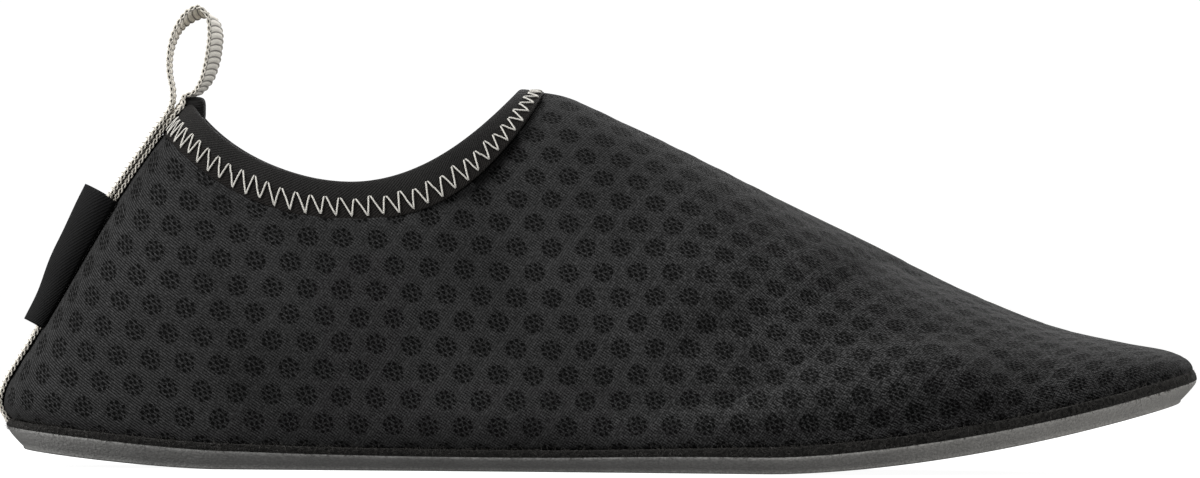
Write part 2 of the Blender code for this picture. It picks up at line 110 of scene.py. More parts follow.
def smoothCurve(knots, values, where):
    # A cubic through the knots, each slope set by the knots on its two sides. The values are
    # numbers, or whole rows of points that are read at once.
    slopes = np.gradient(values, knots, axis=0)
    index = np.clip(np.searchsorted(knots, where) - 1, 0, len(knots) - 2)
    shape = np.shape(where) + (1,) * (np.ndim(values) - 1)
    step = np.reshape(knots[index + 1] - knots[index], shape)
    t = np.reshape(where - knots[index], shape) / step
    return (
        values[index] * (2 * t**3 - 3 * t**2 + 1)
        + slopes[index] * step * (t**3 - 2 * t**2 + t)
        + values[index + 1] * (3 * t**2 - 2 * t**3)
        + slopes[index + 1] * step * (t**3 - t**2)
    )


def smoothStep(low, high, value):
    # 0 below low, 1 above high, and 3t2 - 2t3 between them.
    t = np.clip((value - low) / (high - low), 0, 1)
    return t * t * (3 - 2 * t)


def stationOf(at):
    # A station is an angle, 0 at the back and pi at the toe.
    return np.arccos(1 - 2 * np.clip(at, 0, 1))


def shareOf(station):
    return (1 - np.cos(station)) / 2


formTable = readTable(formColumns, formRows)


def form(name, station):
    return smoothCurve(stationOf(formTable["at"]), formTable[name], station)


def groundHeight(x):
    # Level from heel to ball, with a small lift behind and the toe spring in front.
    behind = np.clip((shoe["heelFlatFrom"] - x) / shoe["heelFlatFrom"], 0, None)
    ahead = np.clip((x - shoe["toeBendAt"]) / (shoe["length"] - shoe["toeBendAt"]), 0, None)
    return shoe["heelLift"] * behind**1.5 + shoe["toeSpring"] * ahead**1.7


def feltTop(x):
    # The sole's upper edge: the underside raised by the sole's thickness there.
    return groundHeight(x) + shoe["soleThickness"] * form("sole", stationOf(x / shoe["length"]))


def centreLine(station):
    return shoe["ballWidth"] * form("centre", station)


def soleEdge(station, side):
    half = form("outer" if side == outerSide else "inner", station) * shoe["ballWidth"]
    return shoe["length"] * shareOf(station), centreLine(station) + side * half


def footprint(station, side, inset):
    # The sole's outline seen from above, drawn in everywhere by the same inset.
    x, y = soleEdge(station, side)
    xLow, yLow = soleEdge(np.maximum(station - smallStep, 0), side)
    xHigh, yHigh = soleEdge(np.minimum(station + smallStep, math.pi), side)
    alongX, alongY = xHigh - xLow, yHigh - yLow
    length = np.hypot(alongX, alongY)
    atEnd = (station < smallStep) | (station > math.pi - smallStep)
    outX = np.where(atEnd, np.sign(station - 1), -side * alongY / length)
    outY = np.where(atEnd, 0, side * alongX / length)
    return x - inset * outX, y - inset * outY


def upperPoint(station, turn, side):
    # One rib of the foot form: a rounded quarter turn from the sole's edge at turn 0 to the top
    # line at turn 1. Towards the heel it leans forward, and a belly swells it out.
    x, y = footprint(station, side, shoe["upperInset"])
    topX = shoe["upperInset"] + (shoe["length"] - 2 * shoe["upperInset"]) * shareOf(station)
    centre = centreLine(station)
    backShare = np.clip(1 - shareOf(station) / shoe["throatAt"], 0, 1) ** 1.5
    shift = shoe["heelTopShift"] * backShare
    lean = shoe["heelLean"] * backShare
    power = form("round", station)
    angle = turn * math.pi / 2
    up = np.sin(angle) ** power
    over = lean * up + (1 - lean) * (1 - np.maximum(np.cos(angle), 0) ** power)
    over = np.where(turn >= 1, 1, over)
    height = shoe["instepHeight"] * form("rise", station) * up
    half = y - centre
    swell = shoe["belly"] * form("belly", station) * (1 - over)
    swell = swell * height / shoe["bellyHeight"] * np.exp(1 - height / shoe["bellyHeight"])
    reach = np.hypot(shift, half) + 1e-6
    return np.stack(
        (
            x + (topX + shift - x) * over - swell * shift / reach,
            centre + half * (1 - over) + swell * half / reach,
            feltTop(x + (topX - x) * over) + shoe["gap"] + height,
        ),
        axis=-1,
    )


def upperNormal(station, turn, side):
    # Outward direction of the foot form: the cross product of its two small steps.
    station, turn = np.broadcast_arrays(station, turn)
    lowS, highS = np.maximum(station - smallStep, 0), np.minimum(station + smallStep, math.pi)
    lowT, highT = np.maximum(turn - smallStep, 0), np.minimum(turn + smallStep, 1)
    along = upperPoint(highS, turn, side) - upperPoint(lowS, turn, side)
    across = upperPoint(station, highT, side) - upperPoint(station, lowT, side)
    normal = -side * np.cross(along, across)
    onMiddle = (station < smallStep) | (turn > 1 - smallStep)
    normal[..., 1] = np.where(onMiddle, 0, normal[..., 1])
    return unit(normal)


def turnWhere(station, side, heightOver):
    # The turn at which each rib meets a line whose height is given over x, by halving.
    low, high = np.zeros_like(station), np.ones_like(station)
    for _ in range(40):
        middle = (low + high) / 2
        point = upperPoint(station, middle, side)
        below = point[..., 2] < heightOver(point[..., 0])
        low, high = np.where(below, middle, low), np.where(below, high, middle)
    return low


def backTurn(height):
    return turnWhere(np.zeros(1), outerSide, lambda x: height + 0 * x)[0]


# The lines round the ankle, seen from the side: the collar's edge and the seam under it.
lineTable = {
    "edge": {"heel": 0.00, "dip": 0.00, "throat": 0.00, "backPower": 1.9, "frontPower": 2.0, "hook": 0.22},
    "seam": {"heel": 0.86, "dip": 1.02, "throat": 0.72, "backPower": 2.2, "frontPower": 2.6, "hook": 0.05},
}


def throatStation(line):
    ahead = lineTable[line]["throat"] * shoe["bindingWidth"]
    return stationOf(shoe["throatAt"] + ahead / shoe["length"])


def collarTurn(line, station, side):
    # The turn at which each rib meets one of the lines round the ankle.
    share = lineTable[line]
    heelHeight = shoe["heelHeight"] - share["heel"] * shoe["bindingWidth"]
    dipHeight = shoe["collarDipHeight"] - share["dip"] * shoe["bindingWidth"]
    throat = upperPoint(throatStation(line), 1, side)
    backX = upperPoint(0.0, backTurn(heelHeight), side)[0]
    dipX = shoe["collarDipAt"] * shoe["length"]

    def heightOver(x):
        back = np.clip((dipX - x) / (dipX - backX), 0, None)
        back = (1 - share["hook"]) * back ** share["backPower"] + share["hook"] * back**6
        front = np.clip((x - dipX) / (throat[0] - dipX), 0, None) ** share["frontPower"]
        return dipHeight + (heelHeight - dipHeight) * back + (throat[2] - dipHeight) * front

    turn = turnWhere(station, side, heightOver)
    return np.where(station >= throatStation(line) - 1e-6, 1.0, turn)


def gridFaces(rows, columns, closeRows=False, closeColumns=False):
    # Quads between neighbouring rows and columns, as an array of corner numbers.
    row = np.arange(rows if closeRows else rows - 1)[:, None] * columns
    column = np.arange(columns if closeColumns else columns - 1)
    above = (row + columns) % (rows * columns)
    after = (column + 1) % columns
    corners = np.stack((row + column, row + after, above + after, above + column), axis=-1)
    return corners.reshape(-1, 4)


def joinParts(parts):
    # Several sets of points, faces and cloth map as one. Each face counts on from the parts before.
    points = [part[0].reshape(-1, 3) for part in parts]
    starts = np.cumsum([0] + [len(group) for group in points])
    faces = [part[1] + start for part, start in zip(parts, starts)]
    uv = [part[2].reshape(-1, 2) for part in parts]
    return np.concatenate(points), np.concatenate(faces), np.concatenate(uv)


def mergePoints(mesh, distance):
    shape = bmesh.new()
    shape.from_mesh(mesh)
    bmesh.ops.dissolve_degenerate(shape, edges=shape.edges, dist=distance)
    bmesh.ops.remove_doubles(shape, verts=shape.verts, dist=distance)
    shape.to_mesh(mesh)
    shape.free()


def makePiece(name, shape, material, merge=None):
    # One mesh object with smooth shading that rides on the shoe. The shape is its points, its
    # faces and its cloth map: a pair for each point, in metres of cloth, or None. Points that
    # meet are merged after the map is laid on the corners.
    points, faces, uv = shape
    mesh = bpy.data.meshes.new(name)
    points = np.asarray(points, float).reshape(-1, 3) + (heelX, 0, 0)
    mesh.from_pydata(points, [], faces.tolist())
    if uv is not None:
        corners = np.empty(len(mesh.loops), np.int32)
        mesh.loops.foreach_get("vertex_index", corners)
        layer = mesh.uv_layers.new(name="clothMap")
        layer.data.foreach_set("uv", np.asarray(uv, np.float32).reshape(-1, 2)[corners].ravel())
    if merge:
        mergePoints(mesh, merge)
    mesh.shade_smooth()
    piece = bpy.data.objects.new(name, mesh)
    bpy.context.scene.collection.objects.link(piece)
    mesh.materials.append(material)
    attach(piece, "root")
    return piece


# Camera: the photograph's side view from the outer side, through a long lens, rolled a little.
view = {
    "frameWidth": 0.2622,  # what the picture spans at the middle of the shoe
    "centreX": 0.0003,
    "centreZ": 0.0505,
    "distance": 3.0,
    "sensor": 36.0,
    "rollDegrees": 0.43,
}


def makeCamera():
    data = bpy.data.cameras.new("camera")
    data.sensor_width = view["sensor"]
    data.lens = view["sensor"] * view["distance"] / view["frameWidth"]
    data.clip_end = 20
    camera = bpy.data.objects.new("camera", data)
    camera.location = (view["centreX"], -view["distance"], view["centreZ"])
    camera.rotation_euler = (math.pi / 2, 0, 0)
    camera.rotation_euler.rotate_axis("Z", math.radians(view["rollDegrees"]))
    bpy.context.scene.collection.objects.link(camera)
    bpy.context.scene.camera = camera


makeCamera()
print("camera made")


# Light: a pale room with large soft lamps above, at the heel, at the toe and behind.
light = {
    "worldColour": (1.0, 1.0, 1.0),
    "worldStrength": 0.225,
    "backdropStrength": 1.05,  # what the camera sees of the room and the floor
    "floorColour": (0.25, 0.25, 0.25, 1),
    "floorGlow": 0.95,  # with the lamps' light on it the floor looks as pale as the room
    "floorHalf": 9.0,
    "lamps": (
        # name, place, aimed at, size, watts
        ("topLight", (-0.35, -0.12, 1.05), (0.0, 0.0, 0.04), 0.60, 9.5),
        ("heelLight", (-1.10, -0.52, 0.48), (0.0, 0.0, 0.04), 0.60, 17.0),
        ("toeLight", (1.00, -0.85, 0.30), (0.05, 0.0, 0.02), 0.60, 7.0),
        ("backLight", (0.30, 0.90, 0.60), (0.0, 0.0, 0.05), 0.80, 10.0),
    ),
}


def makeMaterial(name, settings):
    # A principled material with these settings on the shader's own sockets.
    material = bpy.data.materials.new(name)
    material.use_nodes = True
    shader = material.node_tree.nodes["Principled BSDF"]
    for label, value in settings.items():
        shader.inputs[label].default_value = value
    return material, material.node_tree, shader


def makeStage():
    # A level floor; it and the room look equally pale to the camera, so no edge shows.
    side = np.array((-light["floorHalf"], light["floorHalf"]))
    points = np.stack(np.broadcast_arrays(side[None, :], side[:, None], 0.0), axis=-1)
    mesh = bpy.data.meshes.new("floor")
    mesh.from_pydata(points.reshape(-1, 3), [], gridFaces(2, 2).tolist())
    mesh.shade_smooth()
    floor = bpy.data.objects.new("floor", mesh)
    settings = {
        "Base Color": light["floorColour"],
        "Roughness": 0.9,
        "Specular IOR Level": 0.0,
        "Emission Color": (1, 1, 1, 1),
        "Emission Strength": light["floorGlow"],
    }
    mesh.materials.append(makeMaterial("paleFloor", settings)[0])
    floor.visible_diffuse = False
    floor.visible_glossy = False
    bpy.context.scene.collection.objects.link(floor)


def makeLights():
    world = bpy.data.worlds.new("room")
    world.use_nodes = True
    background = world.node_tree.nodes["Background"]
    background.inputs["Color"].default_value = (*light["worldColour"], 1)
    seen = world.node_tree.nodes.new("ShaderNodeLightPath").outputs["Is Camera Ray"]
    strength = world.node_tree.nodes.new("ShaderNodeMapRange")
    strength.inputs["To Min"].default_value = light["worldStrength"]
    strength.inputs["To Max"].default_value = light["backdropStrength"]
    world.node_tree.links.new(seen, strength.inputs["Value"])
    world.node_tree.links.new(strength.outputs[0], background.inputs["Strength"])
    bpy.context.scene.world = world
    for name, place, aim, size, watts in light["lamps"]:
        data = bpy.data.lights.new(name, "AREA")
        data.size = size
        data.energy = watts
        lamp = bpy.data.objects.new(name, data)
        lamp.location = place
        way = np.array(aim) - np.array(place)
        lamp.rotation_euler = mathutils.Vector(way).to_track_quat("-Z", "Y").to_euler()
        bpy.context.scene.collection.objects.link(lamp)


makeStage()
makeLights()
bpy.context.scene.view_settings.view_transform = "Standard"
print("stage and lights made")


def linkOrSet(tree, socket, value):
    # A node's output is linked; a number or a colour is set on the socket itself.
    if isinstance(value, bpy.types.NodeSocket):
        tree.links.new(value, socket)
    else:
        socket.default_value = value


def addMath(tree, operation, *values):
    node = tree.nodes.new("ShaderNodeMath")
    node.operation = operation
    for socket, value in zip(node.inputs, values):
        linkOrSet(tree, socket, value)
    return node.outputs[0]


def addBetween(tree, share, first, second):
    # The first value where the share is 0, the second where it is 1.
    return addMath(tree, "MULTIPLY_ADD", addMath(tree, "SUBTRACT", second, first), share, first)


def addLength(tree, x, y):
    # The square root of the sum of the squares.
    return addMath(tree, "SQRT", addMath(tree, "MULTIPLY_ADD", x, x, addMath(tree, "MULTIPLY", y, y)))


def addWave(tree, phase):
    # The size of a sine: 0 at each whole phase and 1 halfway.
    return addMath(tree, "ABSOLUTE", addMath(tree, "SINE", addMath(tree, "MULTIPLY", phase, math.pi)))


def addSoftStep(tree, value, low, high, fromValue=0.0, toValue=1.0):
    # A smooth ramp from one value to another while the input goes from low to high.
    node = tree.nodes.new("ShaderNodeMapRange")
    node.interpolation_type = "SMOOTHSTEP"
    given = {"Value": value, "From Min": low, "From Max": high, "To Min": fromValue, "To Max": toValue}
    for name, setting in given.items():
        linkOrSet(tree, node.inputs[name], setting)
    return node.outputs["Result"]


def addMixColour(tree, factor, first, second):
    node = tree.nodes.new("ShaderNodeMix")
    node.data_type = "RGBA"
    for number, value in ((0, factor), (6, first), (7, second)):  # the sockets that mix colours
        linkOrSet(tree, node.inputs[number], value)
    return node.outputs[2]


def addNoise(tree, vector, scale, detail=3.0, roughness=0.55):
    node = tree.nodes.new("ShaderNodeTexNoise")
    linkOrSet(tree, node.inputs["Vector"], vector)
    node.inputs["Scale"].default_value = scale
    node.inputs["Detail"].default_value = detail
    node.inputs["Roughness"].default_value = roughness
    return node.outputs["Fac"]


def scaled(tree, vector, factor):
    # A vector or a colour times a number.
    node = tree.nodes.new("ShaderNodeVectorMath")
    node.operation = "SCALE"
    linkOrSet(tree, node.inputs[0], vector)
    linkOrSet(tree, node.inputs["Scale"], factor)
    return node.outputs[0]


def dress(tree, shader, colour, height, strength, distance):
    # The colour, and a bump from the height, go to the shader.
    node = tree.nodes.new("ShaderNodeBump")
    node.inputs["Strength"].default_value = strength
    node.inputs["Distance"].default_value = distance
    tree.links.new(height, node.inputs["Height"])
    tree.links.new(node.outputs["Normal"], shader.inputs["Normal"])
    tree.links.new(colour, shader.inputs["Base Color"])


def splitVector(tree, vector):
    node = tree.nodes.new("ShaderNodeSeparateXYZ")
    linkOrSet(tree, node.inputs[0], vector)
    return node.outputs[0], node.outputs[1]


def clothVector(tree):
    # The piece's own cloth map, in millimetres.
    node = tree.nodes.new("ShaderNodeUVMap")
    node.uv_map = "clothMap"
    return scaled(tree, node.outputs["UV"], 1000.0)


def objectVector(tree):
    return tree.nodes.new("ShaderNodeTexCoord").outputs["Object"]


def turned(tree, x, y, degrees):
    # The two coordinates turned: along the direction at this angle, and across it.
    c, s = math.cos(math.radians(degrees)), math.sin(math.radians(degrees))
    along = addMath(tree, "MULTIPLY_ADD", x, c, addMath(tree, "MULTIPLY", y, s))
    across = addMath(tree, "MULTIPLY_ADD", y, c, addMath(tree, "MULTIPLY", x, -s))
    return along, across


def newGroup(name, inputs, outputs):
    # inputs: name, kind and starting value; outputs: name and kind.
    group = bpy.data.node_groups.new(name, "ShaderNodeTree")
    for label, kind, value in inputs:
        socket = group.interface.new_socket(name=label, in_out="INPUT", socket_type=kind)
        if value is not None:
            socket.default_value = value
    for label, kind in outputs:
        group.interface.new_socket(name=label, in_out="OUTPUT", socket_type=kind)
    return group, group.nodes.new("NodeGroupInput"), group.nodes.new("NodeGroupOutput")


def ribsGroup():
    # Parallel ribs: 0 in the grooves and 1 on top. Angle turns them, Sharp narrows the grooves.
    group, given, result = newGroup(
        "clothRibs",
        (
            ("Vector", "NodeSocketVector", None),
            ("Angle", "NodeSocketFloat", 0.0),
            ("Pitch", "NodeSocketFloat", 1.0),
            ("Waver", "NodeSocketFloat", 0.1),
            ("Sharp", "NodeSocketFloat", 0.8),
        ),
        (("Height", "NodeSocketFloat"),),
    )
    x, y = splitVector(group, given.outputs["Vector"])
    cosine = addMath(group, "COSINE", given.outputs["Angle"])
    sine = addMath(group, "SINE", given.outputs["Angle"])
    back = addMath(group, "MULTIPLY", x, sine)
    across = addMath(group, "SUBTRACT", addMath(group, "MULTIPLY", y, cosine), back)
    phase = addMath(group, "DIVIDE", across, given.outputs["Pitch"])
    noise = addMath(group, "SUBTRACT", addNoise(group, given.outputs["Vector"], 0.9, 2.0), 0.5)
    phase = addMath(group, "MULTIPLY_ADD", noise, given.outputs["Waver"], phase)
    height = addMath(group, "POWER", addWave(group, phase), given.outputs["Sharp"])
    group.links.new(height, result.inputs["Height"])
    return group


def variationGroup():
    # Soft blotches and fine specks that make a plain colour lighter and darker by Amount.
    group, given, result = newGroup(
        "clothVariation",
        (
            ("Vector", "NodeSocketVector", None),
            ("Colour", "NodeSocketColor", (0.5, 0.5, 0.5, 1)),
            ("Blotch Scale", "NodeSocketFloat", 60.0),
            ("Speck Scale", "NodeSocketFloat", 2500.0),
            ("Amount", "NodeSocketFloat", 0.2),
        ),
        (("Colour", "NodeSocketColor"), ("Speck", "NodeSocketFloat")),
    )

    def scaledNoise(name, detail):
        node = group.nodes.new("ShaderNodeTexNoise")
        node.inputs["Detail"].default_value = detail
        group.links.new(given.outputs["Vector"], node.inputs["Vector"])
        group.links.new(given.outputs[name], node.inputs["Scale"])
        return node.outputs["Fac"]

    blotch = scaledNoise("Blotch Scale", 3.0)
    speck = scaledNoise("Speck Scale", 1.0)
    speck = addSoftStep(group, speck, 0.32, 0.68)
    both = addMath(group, "MULTIPLY_ADD", addMath(group, "SUBTRACT", blotch, 0.5), 1.2, speck)
    swing = addMath(group, "MULTIPLY", addMath(group, "SUBTRACT", both, 0.5), given.outputs["Amount"])
    factor = addMath(group, "MULTIPLY_ADD", swing, 2.0, 1.0)
    group.links.new(scaled(group, given.outputs["Colour"], factor), result.inputs["Colour"])
    group.links.new(speck, result.inputs["Speck"])
    return group


sharedGroups = {"ribs": ribsGroup(), "variation": variationGroup()}


def useGroup(tree, key, values):
    node = tree.nodes.new("ShaderNodeGroup")
    node.node_tree = sharedGroups[key]
    for name, value in values.items():
        linkOrSet(tree, node.inputs[name], value)
    return node.outputs


def addRibs(tree, vector, degrees, pitch, waver, sharp):
    angle = math.radians(degrees)
    values = {"Vector": vector, "Angle": angle, "Pitch": pitch, "Waver": waver, "Sharp": sharp}
    return useGroup(tree, "ribs", values)["Height"]


def addVariation(tree, colour, blotchScale, speckScale, amount):
    # The varied colour, and the specks.
    values = {"Vector": objectVector(tree), "Colour": colour, "Amount": amount}
    values.update({"Blotch Scale": blotchScale, "Speck Scale": speckScale})
    outputs = useGroup(tree, "variation", values)
    return outputs["Colour"], outputs["Speck"]


def clothMaterial(name, roughness, specular, sheen, sheenRoughness=0.5, sheenTint=(1, 1, 1, 1)):
    settings = {"Roughness": roughness, "Specular IOR Level": specular, "Sheen Weight": sheen}
    settings.update({"Sheen Roughness": sheenRoughness, "Sheen Tint": sheenTint})
    return makeMaterial(name, settings)


# Where four numbers stand together below, they are a soft step: from, to and the values there.
knitFinish = {
    "colour": (0.0167, 0.0167, 0.0168, 1),
    "variation": (45.0, 2500.0, 0.30),  # scale of the blotches and the specks, and how strong
    "ribPaintedShade": (0.26, 0.88, 0.05, 1.58),  # from the grooves to the tops of the ribs: painted shade in the grooves, painted highlight on the tops
    "ribs": (-30.0, 0.56),  # degrees and millimetres: at the heel, and the crossed ones ahead
    "crossRibs": (58.0, 0.57),
    "fineRibs": (-38.0, 0.57),
    "ribWaver": 0.35,
    "ribSharp": 0.7,
    "heelRibs": (heelX + 0.012, heelX + 0.080, 0.95, 0.30),  # their share along the shoe
    "fleckLong": 0.95,  # light fibres that lie along the ribs, in millimetres
    "fleckShort": 0.42,
    "fleckAngle": -34.0,
    "fleckShade": (0.36, 0.66, -0.42, 0.62),
    "fleckAlong": (-0.02, 0.06, 0.50, 1.55),  # how strong they are along the shoe
    # The pinholes' near black is painted shade: the shaded inside of the shoe seen through them.
    "holeShadeColour": (0.0018, 0.0018, 0.0018, 1),
    "holePitch": 1.13,
    "holeTurn": 15.0,
    "holeReach": 2.25,
    "holeLong": 0.42,
    "holeShort": 0.29,
    "holeAngle": -38.0,
    "holeEdge": (0.95, 1.22, 1.0, 0.0),
    "smallHole": {"reach": 2.5, "size": 0.62, "share": 0.40},
    "clusterFade": (1.5, 2.55, 1.0, 0.0),  # in millimetres from a cluster's middle
    "dimpleShadeAlong": (-0.10, 0.0, 0.96, 0.84),  # how dark a cluster's ground is, along the shoe: painted shade of the cluster's dimple
    "uneven": 0.75,  # how far the knit strays from a true lattice, in millimetres
    "unevenScale": 0.8,
    "fleckHeight": 0.35,
    "ribHeight": 0.20,
    "holeDepth": 0.35,
}


def knitMaterial():
    # Fine crossed ribs, and in each cluster twelve pinholes on a turned square lattice.
    look, small = knitFinish, knitFinish["smallHole"]
    material, tree, shader = clothMaterial("charcoalKnit", 0.85, 0.06, 0.02, 0.35, (1, 0.97, 0.92, 1))
    place, alongShoe = clothVector(tree), splitVector(tree, objectVector(tree))[0]
    stray = tree.nodes.new("ShaderNodeTexNoise")
    stray.inputs["Scale"].default_value = look["unevenScale"]
    stray.inputs["Detail"].default_value = 1.0
    tree.links.new(place, stray.inputs["Vector"])
    u, v = splitVector(tree, place)
    strayU, strayV = splitVector(tree, stray.outputs["Color"])
    shiftU = upperLook["clusterShift"] * 1000 - look["uneven"] / 2
    shiftV = upperLook["rowShift"] * 1000 - look["uneven"] / 2
    u = addMath(tree, "ADD", u, addMath(tree, "MULTIPLY_ADD", strayU, look["uneven"], shiftU))
    v = addMath(tree, "ADD", v, addMath(tree, "MULTIPLY_ADD", strayV, look["uneven"], shiftV))
    across, up = upperLook["clusterPitch"] * 1000, upperLook["rowPitch"] * 1000

    def nearest(shiftU, shiftV):
        du = addMath(tree, "WRAP", addMath(tree, "ADD", u, shiftU), across / 2, -across / 2)
        dv = addMath(tree, "WRAP", addMath(tree, "ADD", v, shiftV), up, -up)
        return du, dv, addLength(tree, du, dv)

    firstU, firstV, firstApart = nearest(0.0, 0.0)
    secondU, secondV, secondApart = nearest(across / 2, up)
    closer = addMath(tree, "LESS_THAN", secondApart, firstApart)
    pickU = addBetween(tree, closer, firstU, secondU)
    pickV = addBetween(tree, closer, firstV, secondV)
    apart = addMath(tree, "MINIMUM", firstApart, secondApart)
    lattice = turned(tree, pickU, pickV, look["holeTurn"])

    def holes(shift, size, within):
        # A hole at the middle of each cell of the lattice: a stretched, turned spot.
        cell = []
        for value in lattice:
            value = addMath(tree, "WRAP", addMath(tree, "ADD", value, shift), look["holePitch"], 0.0)
            cell.append(addMath(tree, "SUBTRACT", value, look["holePitch"] / 2))
        long, short = turned(tree, *cell, look["holeAngle"] - look["holeTurn"])
        long = addMath(tree, "DIVIDE", long, look["holeLong"] * size)
        short = addMath(tree, "DIVIDE", short, look["holeShort"] * size)
        spot = addSoftStep(tree, addLength(tree, long, short), *look["holeEdge"])
        return addMath(tree, "MULTIPLY", spot, addMath(tree, "LESS_THAN", apart, within))

    smallHoles = holes(look["holePitch"] / 2, small["size"], small["reach"])
    smallHoles = addMath(tree, "MULTIPLY", smallHoles, small["share"])
    hole = addMath(tree, "MAXIMUM", holes(0.0, 1.0, look["holeReach"]), smallHoles)

    def ribs(name):
        return addRibs(tree, place, *look[name], look["ribWaver"], look["ribSharp"])

    crossed = addBetween(tree, 0.5, ribs("crossRibs"), ribs("fineRibs"))
    knit = addBetween(tree, addSoftStep(tree, alongShoe, *look["heelRibs"]), crossed, ribs("ribs"))
    fleckPlace = tree.nodes.new("ShaderNodeCombineXYZ")
    sizes = (look["fleckLong"], look["fleckShort"])
    for socket, value, size in zip(fleckPlace.inputs, turned(tree, u, v, look["fleckAngle"]), sizes):
        tree.links.new(addMath(tree, "DIVIDE", value, size), socket)
    fleck = addNoise(tree, fleckPlace.outputs[0], 1.0, 1.0)
    fleckSwing = addSoftStep(tree, fleck, *look["fleckShade"])
    fleckShare = addSoftStep(tree, alongShoe, *look["fleckAlong"])
    # A cluster's ground is darkened near its middle: painted shade of its dimple.
    ground = addSoftStep(tree, alongShoe, *look["dimpleShadeAlong"])
    cluster = addSoftStep(tree, apart, *look["clusterFade"])
    # Painted shade in the grooves of the ribs and painted highlight on their tops.
    shade = addSoftStep(tree, knit, *look["ribPaintedShade"])
    shade = addMath(tree, "MULTIPLY", shade, addMath(tree, "MULTIPLY_ADD", fleckSwing, fleckShare, 1.0))
    shade = addMath(tree, "MULTIPLY", shade, addSoftStep(tree, cluster, 0.0, 1.0, 1.0, ground))
    colour = addVariation(tree, look["colour"], *look["variation"])[0]
    # Pinholes painted near black: painted shade of the shoe's inside.
    colour = addMixColour(tree, hole, scaled(tree, colour, shade), look["holeShadeColour"])
    knit = addMath(tree, "MULTIPLY_ADD", fleck, look["fleckHeight"], knit)
    sunk = addMath(tree, "MULTIPLY", hole, look["holeDepth"])
    height = addMath(tree, "SUBTRACT", addMath(tree, "MULTIPLY", knit, look["ribHeight"]), sunk)
    dress(tree, shader, colour, height, 0.8, 0.001)
    return material


print("shared node groups made")


def evenStations(start, stop, count, side=outerSide):
    # Stations spaced evenly along the sole's outline, measured as the sum of short chords.
    tries = np.linspace(start, stop, 2000)
    x, y = soleEdge(tries, side)
    run = np.concatenate(([0], np.cumsum(np.hypot(np.diff(x), np.diff(y)))))
    return np.interp(np.linspace(0, run[-1], count), run, tries)


# The upper: a knitted mesh with round clusters of pinholes, in staggered rows.
upperLook = {
    "backStations": 170,
    "frontStations": 235,
    "rows": 92,
    "liningRows": 10,
    "toeTaper": 0.010,  # the wall thins out over this length at the tip
    "leastWall": 0.00005,
    "tipMargin": 0.02,  # normals are read this far short of the tip, as a station
    "tipClear": 0.004,  # no creases or dimples this close to the tip
    "clusterPitch": 0.00755,  # from one cluster to the next in a row
    "rowPitch": 0.00580,
    "clusterShift": -0.0021,  # moves the whole pattern along the shoe
    "rowShift": 0.0004,  # and up the shoe
    "toeCrowd": 0.20,  # the rows lie this much closer at the toe
    "crowdFrom": (0.56, 0.76),
    "clusterRadius": 0.00235,
    "dimple": 0.00010,  # each cluster lies this deep in the knit
    "dimpleEdge": (0.6, 1.25),
    "creaseTop": (0.85, 1.0),  # turns over which the creases fade on top, and at the sole
    "creaseFoot": (0.0, 0.14),
}

# Main creases, given one by one. Each is a soft ridge (+) or trough (-) along a line seen from the
# side: the line's two ends as shares of the length and of the instep height, its depth and
# its reach to each side in metres.
creaseColumns = ("fromAt", "fromUp", "toAt", "toUp", "depth", "reach")
creaseRows = (
    (0.520, 0.08, 0.600, 0.27, -0.0020, 0.0100),
    (0.600, 0.27, 0.735, 0.47, -0.0031, 0.0078),
    (0.735, 0.47, 0.860, 0.30, -0.0024, 0.0070),
    (0.610, 0.08, 0.790, 0.25, 0.0026, 0.0100),
    (0.400, 0.90, 0.480, 0.30, -0.0020, 0.0150),
    (0.160, 0.30, 0.300, 0.40, 0.0014, 0.0160),
    (0.780, 0.02, 0.940, 0.04, -0.0005, 0.0040),
)


def creaseDepth(points, side):
    # The sum over the lines of depth times a bell curve of the distance from the line, which
    # fades out past the line's ends.
    total = np.zeros(points.shape[:-1])
    if side == innerSide:
        return total
    for row in creaseRows:
        crease = dict(zip(creaseColumns, row))
        start = np.array((crease["fromAt"] * shoe["length"], crease["fromUp"] * shoe["instepHeight"]))
        end = np.array((crease["toAt"] * shoe["length"], crease["toUp"] * shoe["instepHeight"]))
        way = end - start
        place = points[..., (0, 2)] - start
        along = np.clip(place @ way / (way @ way), 0, 1)
        apart = np.linalg.norm(place - along[..., None] * way, axis=-1)
        total += crease["depth"] * np.exp(-((apart / crease["reach"]) ** 2))
    return total


def clothMap(points, referenceColumn):
    # The cloth's own measure on a grid of points. U runs along the shoe: the length in plan of
    # each row from the reference column. V runs up it: the length of each rib seen from the end.
    step = np.diff(points, axis=1)
    run = np.cumsum(np.hypot(step[..., 0], step[..., 1]), axis=1)
    run = np.concatenate((np.zeros((len(points), 1)), run), axis=1)
    u = run - run[:, referenceColumn][:, None]
    rise = np.diff(points, axis=0)
    climb = np.cumsum(np.hypot(rise[..., 1], rise[..., 2]), axis=0)
    v = np.concatenate((np.zeros((1, points.shape[1])), climb), axis=0)
    return u, v


def readAtTurns(values, turns):
    # A grid over full turns 0 to 1 read at each point's own turn, with straight lines between.
    place = turns * (len(values) - 1)
    low = np.clip(place.astype(int), 0, len(values) - 2)
    below = np.take_along_axis(values, low, axis=0)
    above = np.take_along_axis(values, low + 1, axis=0)
    return below + (above - below) * (place - low)


def clusterDistance(u, v):
    # Distance to the nearest centre of a staggered lattice, in the cloth's own measure.
    across, up = upperLook["clusterPitch"], upperLook["rowPitch"]
    u, v = u + upperLook["clusterShift"], v + upperLook["rowShift"]
    first = np.hypot((u + across / 2) % across - across / 2, (v + up) % (2 * up) - up)
    second = np.hypot(u % across - across / 2, v % (2 * up) - up)
    return np.minimum(first, second)


